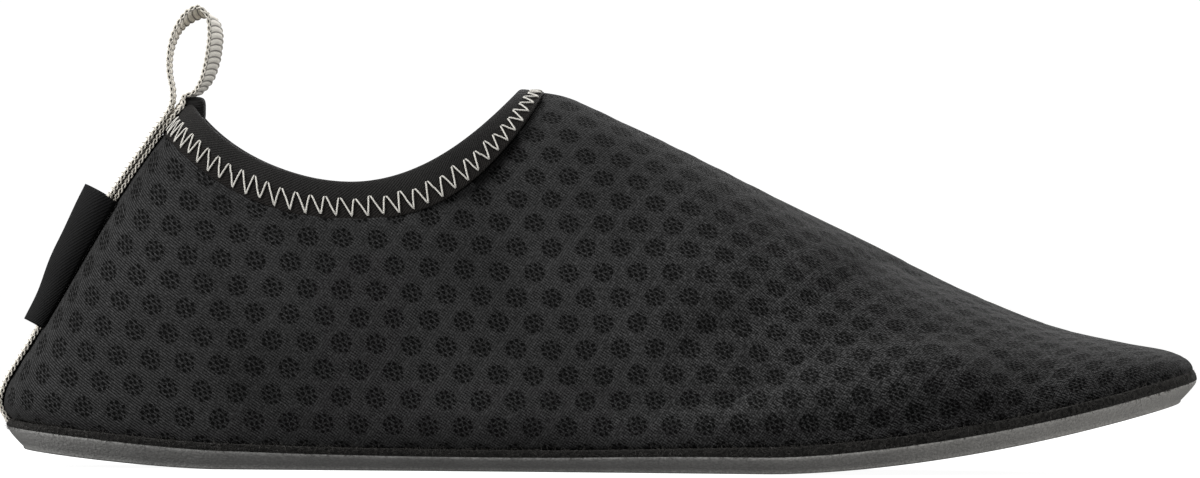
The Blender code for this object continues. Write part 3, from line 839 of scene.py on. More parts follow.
def makeUpper():
    look, throat = upperLook, throatStation("seam")
    back = evenStations(0, throat, look["backStations"])
    front = evenStations(throat, math.pi, look["frontStations"])
    stations = np.concatenate((back, front[1:]))
    reference = look["backStations"] - 1  # clusters are counted from the throat
    outerRows = np.linspace(0, 1, look["rows"])[:, None]
    liningRows = np.linspace(1, 0, look["liningRows"])[:, None]
    toTip = shoe["length"] * (1 - shareOf(stations))
    wall = np.maximum(shoe["wall"] * smoothStep(0, look["toeTaper"], toTip), look["leastWall"])
    safe = np.minimum(stations, math.pi - look["tipMargin"])
    topFade = smoothStep(0, 1, shareOf(stations) / shoe["throatAt"])
    clear = smoothStep(0, look["tipClear"], toTip)
    parts = []
    for side in (outerSide, innerSide):
        turnTop = collarTurn("seam", stations, side)
        turns, liningTurns = outerRows * turnTop, liningRows * turnTop
        fullU, fullV = clothMap(upperPoint(stations, outerRows, side), reference)
        fullV = fullV * (1 + look["toeCrowd"] * smoothStep(*look["crowdFrom"], shareOf(stations)))
        if side == outerSide:
            outerTop = fullV[-1]
        else:
            fullV = fullV + (outerTop - fullV[-1]) * topFade  # both sides' rows meet on top
        u, v = readAtTurns(fullU, turns), readAtTurns(fullV, turns)
        outer = upperPoint(stations, turns, side)
        apart = clusterDistance(u, v) / look["clusterRadius"]
        dimple = look["dimple"] * (1 - smoothStep(*look["dimpleEdge"], apart))
        fade = (1 - smoothStep(*look["creaseTop"], turns)) * smoothStep(*look["creaseFoot"], turns)
        push = (creaseDepth(outer, side) * fade - dimple) * clear
        outer = outer + push[..., None] * upperNormal(safe, np.clip(turns, 0, 1), side)
        inside = upperPoint(stations, liningTurns, side)
        inside = inside - wall[:, None] * upperNormal(safe, np.clip(liningTurns, 0, 1), side)
        points = np.concatenate((outer, inside))
        allU = np.concatenate((u, readAtTurns(fullU, liningTurns)))
        allV = np.concatenate((v, readAtTurns(fullV, liningTurns)))
        rows, columns = points.shape[:2]
        faces = gridFaces(rows, columns, closeRows=True).reshape(rows, columns - 1, 4)
        keep = np.ones(faces.shape[:2], bool)
        keep[look["rows"] - 1, look["backStations"] - 1 :] = False  # no rim in front
        faces = faces[keep]
        if side == innerSide:
            faces = faces[:, ::-1]
        parts.append((points, faces, np.stack((allU, allV), axis=-1)))
    piece = makePiece("knitted_upper", joinParts(parts), knitMaterial(), 5e-6)
    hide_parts("upper")


elasticFinish = {
    "stripColour": (0.0052, 0.0043, 0.0037, 1),  # the strip that shows behind the stitch, below the fold: darker, partly its own tone and partly painted shade under the fold
    "foldAt": 4.0,  # where the rolled fold begins, in millimetres over the band
    "colour": (0.0085, 0.0081, 0.0078, 1),
    "cordPitch": 0.46,  # fine slanting cords, in millimetres
    "knotPitch": 0.40,
}


def elasticMaterial():
    # Fine cords along the band, each broken into small knots.
    material, tree, shader = clothMaterial("blackElastic", 0.8, 0.15, 0.02, 0.4, (1, 0.95, 0.9, 1))
    place, fold = clothVector(tree), elasticFinish["foldAt"]
    cords = addRibs(tree, place, 32, elasticFinish["cordPitch"], 0.3, 0.7)
    knots = addRibs(tree, place, -60, elasticFinish["knotPitch"], 0.4, 0.6)
    height = addBetween(tree, 0.35, cords, knots)
    colour = addVariation(tree, elasticFinish["colour"], 70.0, 2600.0, 0.25)[0]
    # Below the fold the band takes the darker strip colour: partly the strip's own tone, partly painted
    # shade under the fold.
    inFold = addSoftStep(tree, splitVector(tree, place)[1], fold - 0.25, fold + 0.15)
    colour = addMixColour(tree, inFold, elasticFinish["stripColour"], colour)
    # Painted shade between the cords and knots, and painted highlight on them.
    shade = addSoftStep(tree, height, 0.1, 0.9, 0.4, 1.3)
    dress(tree, shader, scaled(tree, colour, shade), height, 0.8, 0.00025)
    return material


yarnFinish = {
    # colour, pitch of the plies in millimetres and their angle in degrees
    "paleThread": ((0.52, 0.505, 0.465, 1), 0.33, 62),
    "paleSelvedge": ((0.66, 0.625, 0.555, 1), 0.30, 58),
}


def yarnMaterial(name):
    # A twisted yarn: slanting plies with painted shade in the grooves between them.
    colour, pitch, degrees = yarnFinish[name]
    material, tree, shader = clothMaterial(name, 0.8, 0.35, 0.15, 0.5, (1, 0.98, 0.95, 1))
    plies = addRibs(tree, clothVector(tree), degrees, pitch, 0.1, 0.6)
    colour = addVariation(tree, colour, 90.0, 5000.0, 0.12)[0]
    # Painted shade in the grooves between the plies, and painted highlight on them.
    shade = addSoftStep(tree, plies, 0.0, 0.7, 0.55, 1.05)
    dress(tree, shader, scaled(tree, colour, shade), plies, 0.6, 0.0001)
    return material


tapeFinish = {
    "ribColour": (0.84, 0.80, 0.72, 1),
    "grooveShadeColour": (0.20, 0.185, 0.165, 1),
    "edgeColour": (0.012, 0.012, 0.012, 1),
    "fibrePitch": 0.30,
}


def tapeMaterial():
    # Pale ribs with painted shade in the grooves between them, and fine fibres that lie along each rib;
    # black along each edge.
    material, tree, shader = clothMaterial("ribbedTape", 0.85, 0.3, 0.15, 0.5, (1, 0.98, 0.95, 1))
    place = clothVector(tree)
    along, across = splitVector(tree, place)
    share = addMath(tree, "DIVIDE", across, tapeLook["width"] * 500)
    bow = addMath(tree, "MULTIPLY", addMath(tree, "MULTIPLY", share, share), tapeLook["ribBow"])
    phase = addMath(tree, "ADD", addMath(tree, "DIVIDE", along, tapeLook["ribPitch"] * 1000), bow)
    top = addSoftStep(tree, addWave(tree, phase), 0.10, 0.60)
    # The grooves between the ribs are painted dark: painted shade.
    colour = addMixColour(tree, top, tapeFinish["grooveShadeColour"], tapeFinish["ribColour"])
    edge = addSoftStep(tree, addMath(tree, "ABSOLUTE", share), 0.86, 0.93)
    colour = addMixColour(tree, edge, colour, tapeFinish["edgeColour"])
    colour = addVariation(tree, colour, 80.0, 4200.0, 0.14)[0]
    fibres = addRibs(tree, place, 84, tapeFinish["fibrePitch"], 0.5, 0.7)
    # Painted shade between the fibres and painted highlight on them.
    shade = addSoftStep(tree, fibres, 0.0, 0.8, 0.66, 1.08)
    dress(tree, shader, scaled(tree, colour, shade), fibres, 0.5, 0.00008)
    return material


twillFinish = {"colour": (0.0050, 0.0050, 0.0051, 1), "pitch": 0.62, "angle": 58.0}


def twillMaterial():
    # A steep diagonal rib with short floats across it.
    material, tree, shader = clothMaterial("blackTwill", 0.85, 0.10, 0.02, 0.4)
    place, pitch = clothVector(tree), twillFinish["pitch"]
    ribs = addRibs(tree, place, twillFinish["angle"], pitch, 0.15, 0.6)
    height = addBetween(tree, 0.3, ribs, addRibs(tree, place, 0.0, pitch * 0.6, 0.2, 0.6))
    colour = addVariation(tree, twillFinish["colour"], 60.0, 3500.0, 0.2)[0]
    # Painted shade in the grooves of the twill and painted highlight on its ribs.
    shade = addSoftStep(tree, height, 0.1, 0.9, 0.5, 1.35)
    dress(tree, shader, scaled(tree, colour, shade), height, 0.8, 0.0002)
    return material


rubberFinish = {
    "colour": (0.172, 0.170, 0.164, 1),
    "toeColour": (0.320, 0.311, 0.294, 1),  # paler towards the toe: painted light on the rubber there
    "roughness": (0.50, 0.65),  # between the specks and on them
}


def rubberMaterial():
    # Dull rubber with fine specks and pits; paler towards the toe, which is painted light.
    material, tree, shader = clothMaterial("greyRubber", 0.65, 0.4, 0.0)
    place = objectVector(tree)
    # The toe half is painted paler: painted light on the rubber there.
    toward = addSoftStep(tree, splitVector(tree, place)[0], 0.0, -heelX)
    colour = addMixColour(tree, toward, rubberFinish["colour"], rubberFinish["toeColour"])
    colour, speck = addVariation(tree, colour, 110.0, 2000.0, 0.17)
    rough = addSoftStep(tree, speck, 0.3, 0.7, *rubberFinish["roughness"])
    tree.links.new(rough, shader.inputs["Roughness"])
    dress(tree, shader, colour, addNoise(tree, place, 1500.0, 2.0), 0.5, 0.0005)
    return material


feltFinish = {
    "colour": (0.0062, 0.0060, 0.0056, 1),
    "toeColour": (0.0190, 0.0183, 0.0170, 1),
    "hairColour": (0.050, 0.047, 0.043, 1),
}


def feltMaterial():
    material, tree, shader = clothMaterial("darkFelt", 0.95, 0.1, 0.06, 0.6, (1, 0.97, 0.93, 1))
    place = objectVector(tree)
    toward = addSoftStep(tree, splitVector(tree, place)[0], 0.02, -heelX)
    colour = addMixColour(tree, toward, feltFinish["colour"], feltFinish["toeColour"])
    colour = addVariation(tree, colour, 160.0, 1500.0, 0.72)[0]
    dress(tree, shader, colour, addNoise(tree, place, 1800.0, 4.0, 0.7), 0.9, 0.0008)
    return material


footbedFinish = {
    "grooveShadeColour": (0.006, 0.006, 0.006, 1),
    "colour": (0.024, 0.024, 0.025, 1),
    "pitch": 0.9,
}


def footbedMaterial():
    # A knitted cover: small diamonds between two sets of slanting grooves, which carry painted shade.
    material, tree, shader = clothMaterial("darkFootbed", 0.9, 0.3, 0.2)
    place = clothVector(tree)
    first, second = (addRibs(tree, place, turn, footbedFinish["pitch"], 0.2, 0.8) for turn in (45, -45))
    height = addMath(tree, "MULTIPLY", first, second)
    # The grooves are painted dark: painted shade.
    colour = addMixColour(tree, height, footbedFinish["grooveShadeColour"], footbedFinish["colour"])
    dress(tree, shader, colour, height, 0.7, 0.0003)
    return material


# The layers under the foot: rubber outsole, felt and footbed. All are stacks of the same outline.
soleLook = {
    "sideBevel": 0.0034,
    "groundRadius": 0.0006,
    "lip": 0.0007,  # the rubber's side stands this far up against the felt, and more behind the ball
    "heelLip": 0.0007,
    "feltRound": 0.0004,
    "feltBulge": 0.0002,
    "feltRough": 0.00018,
    "feltLap": 0.0004,  # the felt closes against the knit
    "feltToeRound": 0.0006,  # the felt's upper edge is drawn in this far at the tip
    "feltStations": 1100,
    "feltSeed": 5,
    "insoleThickness": 0.0026,
    "insoleToeRoom": 0.0075,
    "insoleRound": 0.0006,
    "insoleStations": 300,
    "grooveWidth": 0.0016,
    "grooveDepth": 0.0008,
    "grooveRim": 0.009,
    "groovesAt": (0.20, 0.24, 0.28, 0.50, 0.54, 0.58, 0.62, 0.66, 0.70, 0.74, 0.78, 0.82),
    "stations": 620,
    "lipRound": 0.0004,
    # The lip's section, as insets and drops from its top; the last pair is the hollow inside it.
    "lipSection": ((0.0, 2e-4), (1e-4, 1e-4), (3e-4, 0.0), (9e-4, 2e-4), (10e-4, 8e-4), (10e-4, 9e-4)),
}


def layerPoints(stations, side, rows):
    # Each row is an inset, a share of the way out from the centre line, and a height over x.
    stack = []
    for inset, share, heightOver in rows:
        x, y = footprint(stations, side, inset)
        middleX = inset + (shoe["length"] - 2 * inset) * shareOf(stations)
        middleY = centreLine(stations)
        x = middleX + (x - middleX) * share
        y = middleY + (y - middleY) * share
        stack.append(np.stack((x, y, heightOver(x, y, side)), axis=-1))
    return np.array(stack)


def makeLayer(name, rows, material, stationCount):
    # Rows run from the middle of the underside out to the edge and back to the middle on top;
    # the two sides meet along the centre line.
    stations = evenStations(0, math.pi, stationCount)
    parts = []
    for side in (outerSide, innerSide):
        points = layerPoints(stations, side, rows)
        faces = gridFaces(len(rows), stationCount)
        if side == outerSide:
            faces = faces[:, ::-1]
        parts.append((points, faces, points[..., :2]))
    return makePiece(name, joinParts(parts), material, 2e-6)


def grooveLift(x, y, side):
    # How far the underside is cut in at a point: shallow cross grooves inside a plain rim.
    lift = np.zeros_like(x)
    for at in soleLook["groovesAt"]:
        apart = abs(x - at * shoe["length"])
        lift = np.maximum(lift, 1 - smoothStep(0.35, 0.5, apart / soleLook["grooveWidth"]))
    station = stationOf(x / shoe["length"])
    edge = abs(soleEdge(station, side)[1] - y)
    rim = soleLook["sideBevel"] + soleLook["groundRadius"] + soleLook["grooveRim"]
    return soleLook["grooveDepth"] * lift * smoothStep(rim - 0.0004, rim + 0.0002, edge)


def lipAt(x):
    behind = 1 - smoothStep(0.52, 0.68, x / shoe["length"])
    return soleLook["lip"] + soleLook["heelLip"] * behind


def soleTop(x):
    return feltTop(x) - shoe["feltThickness"] - shoe["gap"] + lipAt(x)


def makeOutsole():
    # Each height below is a function of x, y and the side.
    bevel, radius, lip = soleLook["sideBevel"], soleLook["groundRadius"], soleLook["lipSection"]
    rows = []
    for share in np.linspace(0, 1, 24):
        rows.append((bevel + radius, share, lambda x, y, s: groundHeight(x) + grooveLift(x, y, s)))
    for turn in np.linspace(0.2, 1, 5) * math.pi / 2:
        out, up = radius * math.sin(turn), radius * (1 - math.cos(turn))
        rows.append((bevel + radius - out, 1, lambda x, y, s, up=up: groundHeight(x) + up))

    def sideHeight(x, share):
        foot = groundHeight(x) + radius
        return foot + (soleTop(x) - soleLook["lipRound"] - foot) * share

    for share in (0.2, 0.4, 0.6, 0.8, 0.93):
        inset = bevel * (1 - share) ** 1.3
        rows.append((inset, 1, lambda x, y, s, share=share: sideHeight(x, share)))
    for inset, drop in lip[:-1]:
        rows.append((inset, 1, lambda x, y, s, drop=drop: soleTop(x) - drop))
    inset, hollow = lip[-1]
    for share in (0.95, 0.6, 0.3, 0.0):
        rows.append((inset, share, lambda x, y, s: soleTop(x) - hollow))
    piece = makeLayer("rubber_sole", rows, rubberMaterial(), soleLook["stations"])
    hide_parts("outsole")


def feltUnder(x):
    return soleTop(x) - 0.0001


def feltRim(x):
    return feltTop(x) + soleLook["feltLap"]


def makeFelt():
    # The cut edge is a half round that a smoothed random field pushes in and out.
    corner, count = soleLook["feltRound"], soleLook["feltStations"]
    dice = np.random.default_rng(soleLook["feltSeed"])
    atToe = smoothStep(0.93, 1, shareOf(evenStations(0, math.pi, count)))
    rows = []
    for share in (0, 0.4, 0.8):
        rows.append((corner, share, lambda x, y, s: feltUnder(x)))
    for turn in np.linspace(0, math.pi, 13):
        rough = dice.normal(0, 1, count + 2)
        rough = (rough[:-2] + rough[2:]) / 4 + rough[1:-1] / 2
        rough = rough * soleLook["feltRough"] * math.sin(turn) * (1 - atToe)
        rough[[0, -1]] = 0
        power = 0.7 if turn > math.pi / 2 else 0.3  # fuller below, where it meets the rubber
        inset = corner - (corner + soleLook["feltBulge"]) * math.sin(turn) ** power + rough
        up = (1 - math.cos(turn)) / 2
        inset = inset + soleLook["feltToeRound"] * atToe * up
        rows.append((inset, 1, lambda x, y, s, up=up: feltUnder(x) + (feltRim(x) - feltUnder(x)) * up))
    for share in (0.8, 0.4, 0):
        rows.append((corner, share, lambda x, y, s: feltRim(x)))
    piece = makeLayer("felt_layer", rows, feltMaterial(), count)
    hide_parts("felt_midsole")


fuzzLook = {
    "count": 12000,
    "length": (0.0004, 0.0015),
    "radius": 0.000046,
    "bareTip": 0.15,  # no hairs this close to the tip, as a station
    "tipBand": (0.2, 0.5),  # they go here instead, counted back from the tip
    "taper": (1.0, 0.8, 0.25),
    "lean": 0.5,  # how far they stand out, and how far they stray to either side of that
    "strayAlong": 0.9,
    "strayUp": 0.8,
    "bend": 0.25,
    "seed": 7,
}


def makeFuzz():
    # Short hairs on the felt's cut edge: three rings of three points each, bent by a random step.
    number, dice = fuzzLook["count"], np.random.default_rng(fuzzLook["seed"])
    sides = dice.integers(0, 2, number) * 2 - 1
    stations = np.interp(dice.random(number), np.linspace(0, 1, 800), evenStations(0, math.pi, 800))
    stations = np.clip(stations, 0.01, math.pi - 0.01)
    near, far = fuzzLook["tipBand"]
    instead = math.pi - (far - near) * dice.random(number) - near
    stations = np.where(stations > math.pi - fuzzLook["bareTip"], instead, stations)
    depth = dice.random(number) ** 1.3
    base, ahead = np.empty((number, 3)), np.empty((number, 3))
    for side in (outerSide, innerSide):
        pick = sides == side
        for target, shift in ((base, 0.0), (ahead, 0.004)):
            x, y = footprint(stations[pick] + shift, side, 0.0001)
            z = feltRim(x) + (feltUnder(x) - feltRim(x)) * depth[pick]
            target[pick] = np.stack((x, y, z), axis=-1)
    way = unit(ahead - base)
    out = np.stack((way[:, 1], -way[:, 0], 0 * way[:, 0]), axis=-1) * -sides[:, None]
    up = np.broadcast_to((0.0, 0.0, 1.0), way.shape)
    strayAlong = dice.normal(0, fuzzLook["strayAlong"], (number, 1))
    strayUp = dice.normal(0, fuzzLook["strayUp"], (number, 1))
    lean = unit(out * fuzzLook["lean"] + way * strayAlong + up * strayUp)
    least, most = fuzzLook["length"]
    length = (least + (most - least) * dice.random(number) ** 2)[:, None]
    bend = dice.normal(0, fuzzLook["bend"], (number, 3)) * length
    path = np.stack((base, base + lean * length * 0.55, base + lean * length + bend), axis=1)
    ring = np.array(((1, 0), (-0.5, 0.87), (-0.5, -0.87)))
    first = unit(np.cross(lean, up + 0.3 * way))
    second = np.cross(lean, first)
    offset = ring[:, :1] * first[:, None] + ring[:, 1:] * second[:, None]
    size = np.array(fuzzLook["taper"])[None, :, None, None] * fuzzLook["radius"]
    points = (path[:, :, None] + offset[:, None] * size).reshape(-1, 3)
    one = []
    for row in (0, 3):
        for corner in range(3):
            here, after = row + corner, row + (corner + 1) % 3
            one += [(here, after, after + 3), (here, after + 3, here + 3)]
    one += [(0, 2, 1), (6, 7, 8)]
    faces = (np.arange(number)[:, None, None] * 9 + np.array(one)).reshape(-1, 3)
    material = makeMaterial("feltHair", {"Base Color": feltFinish["hairColour"], "Roughness": 0.9})[0]
    piece = makePiece("felt_fuzz", (points, faces, None), material)


def makeFootbed():
    # Drawn in more towards the low toe, by the cube of the share along the shoe.
    inside = shoe["upperInset"] + shoe["wall"] + shoe["gap"]
    thickness, corner = soleLook["insoleThickness"], soleLook["insoleRound"]
    toward = shareOf(evenStations(0, math.pi, soleLook["insoleStations"])) ** 3
    base = inside + (soleLook["insoleToeRoom"] + thickness - inside) * toward
    rows = []

    def rowAt(inset, share, up):
        rows.append((inset, share, lambda x, y, s: feltTop(x) + shoe["gap"] + up))

    for share in (0, 0.5):
        rowAt(base + corner, share, 0.0)
    for turn in np.linspace(0, math.pi, 9):
        rowAt(base + corner * (1 - math.sin(turn)), 1, thickness * (1 - math.cos(turn)) / 2)
    for share in (0.75, 0.5, 0.25, 0):
        rowAt(base + corner, share, thickness)
    piece = makeLayer("footbed", rows, footbedMaterial(), soleLook["insoleStations"])
    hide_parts("insole")


# The collar: an elastic band that laps over the knit's edge, fixed by the zigzag stitch.
collarLook = {
    "stations": 250,
    "lapPucker": 0.00007,  # how far the band lifts between the stitches
    "foldHalf": (0.0026, 0.0050, 0.0029),  # the band's folded ends, inside the heel: half sizes
    "foldPlace": (0.0008, 0.0, -0.0020),  # their middle, from the top of the heel
    "foldRows": 33,
    "foldColumns": 64,
}
# The band's section: "up" is a share of its width above the seam, "out" is in millimetres from
# the knit's outer face.
collarColumns = ("up", "out")
collarRows = (
    (-0.020, -0.10),
    (-0.022, 0.06),
    (-0.010, 0.14),
    (0.020, 0.17),
    (0.100, 0.18),
    (0.200, 0.18),
    (0.300, 0.18),
    (0.400, 0.18),
    (0.450, 0.20),
    (0.490, 0.28),
    (0.560, 0.42),
    (0.700, 0.50),
    (0.800, 0.48),
    (0.880, 0.34),
    (0.940, 0.08),
    (0.980, -0.30),
    (1.000, -0.80),
    (0.985, -1.30),
    (0.950, -1.70),
    (0.880, -1.92),
    (0.700, -2.00),
    (0.400, -2.00),
    (0.100, -1.95),
    (0.040, -1.85),
    (0.020, -0.80),
)

stitch = {
    "pitch": 0.00335,
    "heelPitch": 0.0022,  # closer stitches at the heel, within about heelRun
    "heelRun": 0.0135,
    "low": 0.045,  # the stitch's lower and upper points, as shares of the band's width
    "high": 0.520,
    "upset": 0.16,  # how unlike the single stitches are
    "radius": 0.000185,
    "proud": 0.00048,  # centre of the thread above the knit's face, in the middle of a stroke
    "sunk": 0.00016,  # and at the needle holes
    "climb": 0.00026,  # and this much more where it lies on the band's step
    "stray": 0.035,  # how far a stroke comes early or late, in pitches
    "steps": 22,  # rings along one pitch
    "sides": 8,
    "startWidth": 0.0049,  # the stitch comes out from under the tape this far from the middle
}


def collarPlace(share, up, side, out):
    # A point of the collar: share runs from the back to the throat, up from the seam to the edge.
    # It lies straight between the seam's and the edge's place on the form, moved out by out.
    seamStation, edgeStation = share * throatStation("seam"), share * throatStation("edge")
    seamTurn = collarTurn("seam", seamStation, side)
    edgeTurn = collarTurn("edge", edgeStation, side)
    station = seamStation + (edgeStation - seamStation) * up
    turn = np.clip(seamTurn + (edgeTurn - seamTurn) * up, 0, 1)
    point = upperPoint(station, turn, side)
    return point + np.asarray(out)[..., None] * upperNormal(station, turn, side)


def runAlong(points):
    return np.concatenate(([0], np.cumsum(np.linalg.norm(np.diff(points, axis=0), axis=-1))))


def stitchWave(phase):
    # A triangle wave whose corners are branches of hyperbolas: narrow below, rounder above.
    # The result is stretched so that it just reaches -1 and 1.
    flat, low, high = 1.10, 0.06, 0.16

    def rounded(wave):
        wave = 1 + high - np.hypot(1 - wave, high)
        return -1 - low + np.hypot(1 + wave, low)

    wave = np.minimum(1, flat * (2 - 4 * abs((phase % 1) - 0.5)) - 1)
    bottom, top = rounded(-1.0), rounded(1.0)
    return (rounded(wave) - bottom) / (top - bottom) * 2 - 1


def uneven(number, seed):
    # A fixed value between -1 and 1 for each whole number, from the fraction of a large sine.
    return 2 * ((np.sin(number * 12.9898 + seed * 78.233) * 43758.5453) % 1) - 1


def stitchRun(side):
    # The stitch's middle line from the tape to the throat: shares along the collar, lengths, and
    # the phase, which is the sum of the run over the pitch at each place.
    share = 1 - (1 - np.linspace(0, 1, 900)) ** 2
    middle = collarPlace(share, np.full_like(share, 0.33), side, np.zeros_like(share))
    run = runAlong(middle)
    start = np.interp(stitch["startWidth"], abs(middle[:200, 1]), run[:200])
    ahead = np.clip(run - start, 0, None)
    close = np.exp(-((ahead / stitch["heelRun"]) ** 2))
    pitch = stitch["pitch"] + (stitch["heelPitch"] - stitch["pitch"]) * close
    phase = np.concatenate(([0], np.cumsum(np.diff(ahead) / ((pitch[1:] + pitch[:-1]) / 2))))
    return share, run, phase * (round(phase[-1]) / phase[-1])


def makeCollar():
    section = readTable(collarColumns, collarRows)
    up, out = section["up"][:, None], section["out"][:, None] / 1000
    wide = section["up"] * shoe["bindingWidth"]
    over = runAlong(np.stack((wide, section["out"] / 1000), axis=-1))
    inStitch = smoothStep(-0.02, 0.05, up) * (1 - smoothStep(0.5, 0.65, up)) * (out > 0)
    parts = []
    for side in (outerSide, innerSide):
        share, run, phase = stitchRun(side)
        along = np.linspace(0, run[-1], collarLook["stations"])
        even, phase = np.interp(along, run, share), np.interp(along, run, phase)
        pucker = collarLook["lapPucker"] * np.cos(4 * math.pi * phase) * inStitch
        points = collarPlace(even, up, side, out + pucker)
        faces = gridFaces(*points.shape[:2], closeRows=True)
        if side == innerSide:
            faces = faces[:, ::-1]
        uv = np.stack(np.broadcast_arrays(along[None, :], over[:, None]), axis=-1)
        parts.append((points, faces, uv))
    piece = makePiece("elastic_collar", joinParts(parts), elasticMaterial(), 5e-6)
    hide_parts("collar_binding")


def makeFold():
    # The band's folded ends: a ball whose sines and cosines are taken to a power, so that it is
    # a rounded block.
    rows, columns = collarLook["foldRows"], collarLook["foldColumns"]
    polar = np.linspace(-math.pi / 2, math.pi / 2, rows)[:, None]
    turn = np.linspace(0, 2 * math.pi, columns, endpoint=False)[None, :]

    def blunt(value):
        return np.sign(value) * abs(value) ** 0.5

    ring, height = blunt(np.cos(polar)), blunt(np.sin(polar))
    box = np.broadcast_arrays(ring * blunt(np.cos(turn)), ring * blunt(np.sin(turn)), height)
    top = upperPoint(0.0, backTurn(shoe["heelHeight"]), outerSide)
    points = top + collarLook["foldPlace"] + np.stack(box, axis=-1) * collarLook["foldHalf"]
    faces = gridFaces(rows, columns, closeColumns=True)
    fold = makePiece("collar_fold", (points, faces, points[..., 1:]), elasticMaterial(), 2e-6)


def tubePoints(path, normal, radius, sides):
    # Rings along a path: cosine of the angle times the normal, sine times the third direction.
    way = unit(np.gradient(path, axis=0))
    third = unit(np.cross(way, normal))
    normal = np.cross(third, way)
    angle = np.linspace(0, 2 * math.pi, sides, endpoint=False)[:, None]
    ring = np.cos(angle) * normal[:, None] + np.sin(angle) * third[:, None]
    return path[:, None] + np.asarray(radius).reshape(-1, 1, 1) * ring


def joinTubes(tubes):
    # Several tubes as one set of points, faces and cloth map. Each end closes to a point.
    sides, parts = stitch["sides"], []
    for path, normal, radius in tubes:
        radius = np.full(len(path), radius)
        radius[0] = radius[-1] = 1e-7
        faces = gridFaces(len(path), sides, closeColumns=True)[:, ::-1]
        around = np.arange(sides)[None, :] / sides * 0.001
        uv = np.stack(np.broadcast_arrays(runAlong(path)[:, None], around), axis=-1)
        parts.append((tubePoints(path, normal, radius, sides), faces, uv))
    return joinParts(parts)


def makeStitch():
    middle, half = (stitch["low"] + stitch["high"]) / 2, (stitch["high"] - stitch["low"]) / 2
    tubes = []
    for side, seed in ((outerSide, 1), (innerSide, 2)):
        share, run, phases = stitchRun(side)
        started = np.searchsorted(phases, 1e-6) - 1
        count = int(phases[-1])
        phase = np.linspace(0, count, count * stitch["steps"] + 1)
        where = np.interp(phase, phases[started:], share[started:])
        wave = stitchWave(phase + stitch["stray"] * uneven(np.floor(phase + 0.25), 3))
        ends = uneven(np.round(phase * 2), seed) * stitch["upset"]
        up = middle + half * (wave + ends * wave**2 * np.sign(wave))
        dip = abs(np.clip(wave, -1, 1)) ** 8
        out = stitch["proud"] + (stitch["sunk"] - stitch["proud"]) * dip
        out = out + stitch["climb"] * smoothStep(0.5, 0.62, up)
        path = collarPlace(where, up, side, out)
        outward = unit(collarPlace(where, up, side, out + 0.001) - path)
        tubes.append((path, outward, stitch["radius"]))
    piece = makePiece("zigzag_stitch", joinTubes(tubes), yarnMaterial("paleThread"), 1e-6)


# The tape: it runs up the back seam, stands up as the loop and comes down over itself.
tapeLook = {
    "width": 0.0100,
    "thickness": 0.0010,
    "loopHeight": 0.0200,
    "loopLength": 0.0100,
    "frontDrop": 0.0017,
    "backDrop": 0.0062,
    "endDepth": 0.0170,
    "proudOfBinding": 0.0004,
    "ribPitch": 0.00133,
    "ribHeight": 0.00022,
    "ribBow": 0.35,  # each rib bows back at its ends by this share of the pitch
    "ribUneven": 0.10,
    "edgeThin": 0.00008,
    "rowStep": 0.00012,
    "columns": 13,
    "eyeHalf": 0.00034,  # half the opening between the selvedge's two strands
    "strandRadius": 0.00018,
    "strandCross": 0.00012,  # how far apart the strands lie where they cross
    "strandOut": 0.00002,
    "strandSteps": 14,
}
loopColumns = ("forward", "up", "turnForward", "turnDown")
loopRows = (
    (-0.11, 0.035, 0.06, 0.00),
    (0.14, 0.090, 0.12, 0.00),
    (0.33, 0.210, 0.20, 0.00),
    (0.45, 0.390, 0.25, 0.00),
    (0.515, 0.575, 0.26, 0.00),
    (0.53, 0.765, 0.24, 0.03),
    (0.45, 0.910, 0.18, 0.10),
    (0.23, 0.975, 0.12, 0.20),
    (-0.03, 0.925, 0.08, 0.20),
    (-0.24, 0.815, 0.06, 0.12),
    (-0.39, 0.650, 0.05, 0.04),
    (-0.46, 0.450, 0.03, 0.00),
    (-0.445, 0.275, 0.02, 0.00),
    (-0.385, 0.130, 0.02, 0.00),
    (-0.39, -0.020, 0.02, 0.00),
)
tabLook = {
    "width": 0.0136,
    "wall": 0.0009,
    "topDepth": 0.0078,
    "bottomDepth": 0.0042,
    "bottomHeight": 0.0300,
    "length": 0.0320,
    "bow": 0.05,  # how much deeper the cloth stands halfway down
    "wave": 0.045,
    "rows": 60,
    "columns": 60,
}


def stationAtWidth(turn, width):
    # The station where the form, at this turn, lies this far from its middle plane.
    tries = np.linspace(0, stationOf(shoe["throatAt"] / 2), 300)
    return np.interp(width, upperPoint(tries, turn, innerSide)[:, 1], tries)


def turnsAlongBack(start, stop, length, steps):
    # Turns evenly spaced along the back seam, from a start turn towards stop, over a length.
    turns = np.linspace(start, stop, 400)
    run = runAlong(upperPoint(np.zeros_like(turns), turns, outerSide))
    return np.interp(np.linspace(0, min(length, run[-1]), steps), run, turns)


def backRow(turn, widths, out):
    # One row across the heel: each column is a distance from the middle, moved out by out.
    station = stationAtWidth(turn, abs(widths))
    row = []
    for side, pick in ((outerSide, widths <= 0), (innerSide, widths > 0)):
        point = upperPoint(station[pick], turn, side)
        row.append(point + out[pick][:, None] * upperNormal(station[pick], turn, side))
    return np.concatenate(row)


def backStrip(turns, widths, proud):
    return np.array([backRow(turn, widths, out + 0 * widths) for turn, out in zip(turns, proud)])


def tabTopTurn():
    return turnsAlongBack(backTurn(tabLook["bottomHeight"]), 1, tabLook["length"], 2)[-1]


def bindingStep(turns):
    seam, edge = collarTurn("seam", np.zeros(1), outerSide)[0], backTurn(shoe["heelHeight"])
    return tapeLook["proudOfBinding"] * np.clip(1 + (turns - seam) / (edge - seam) * 3, 0, 1)


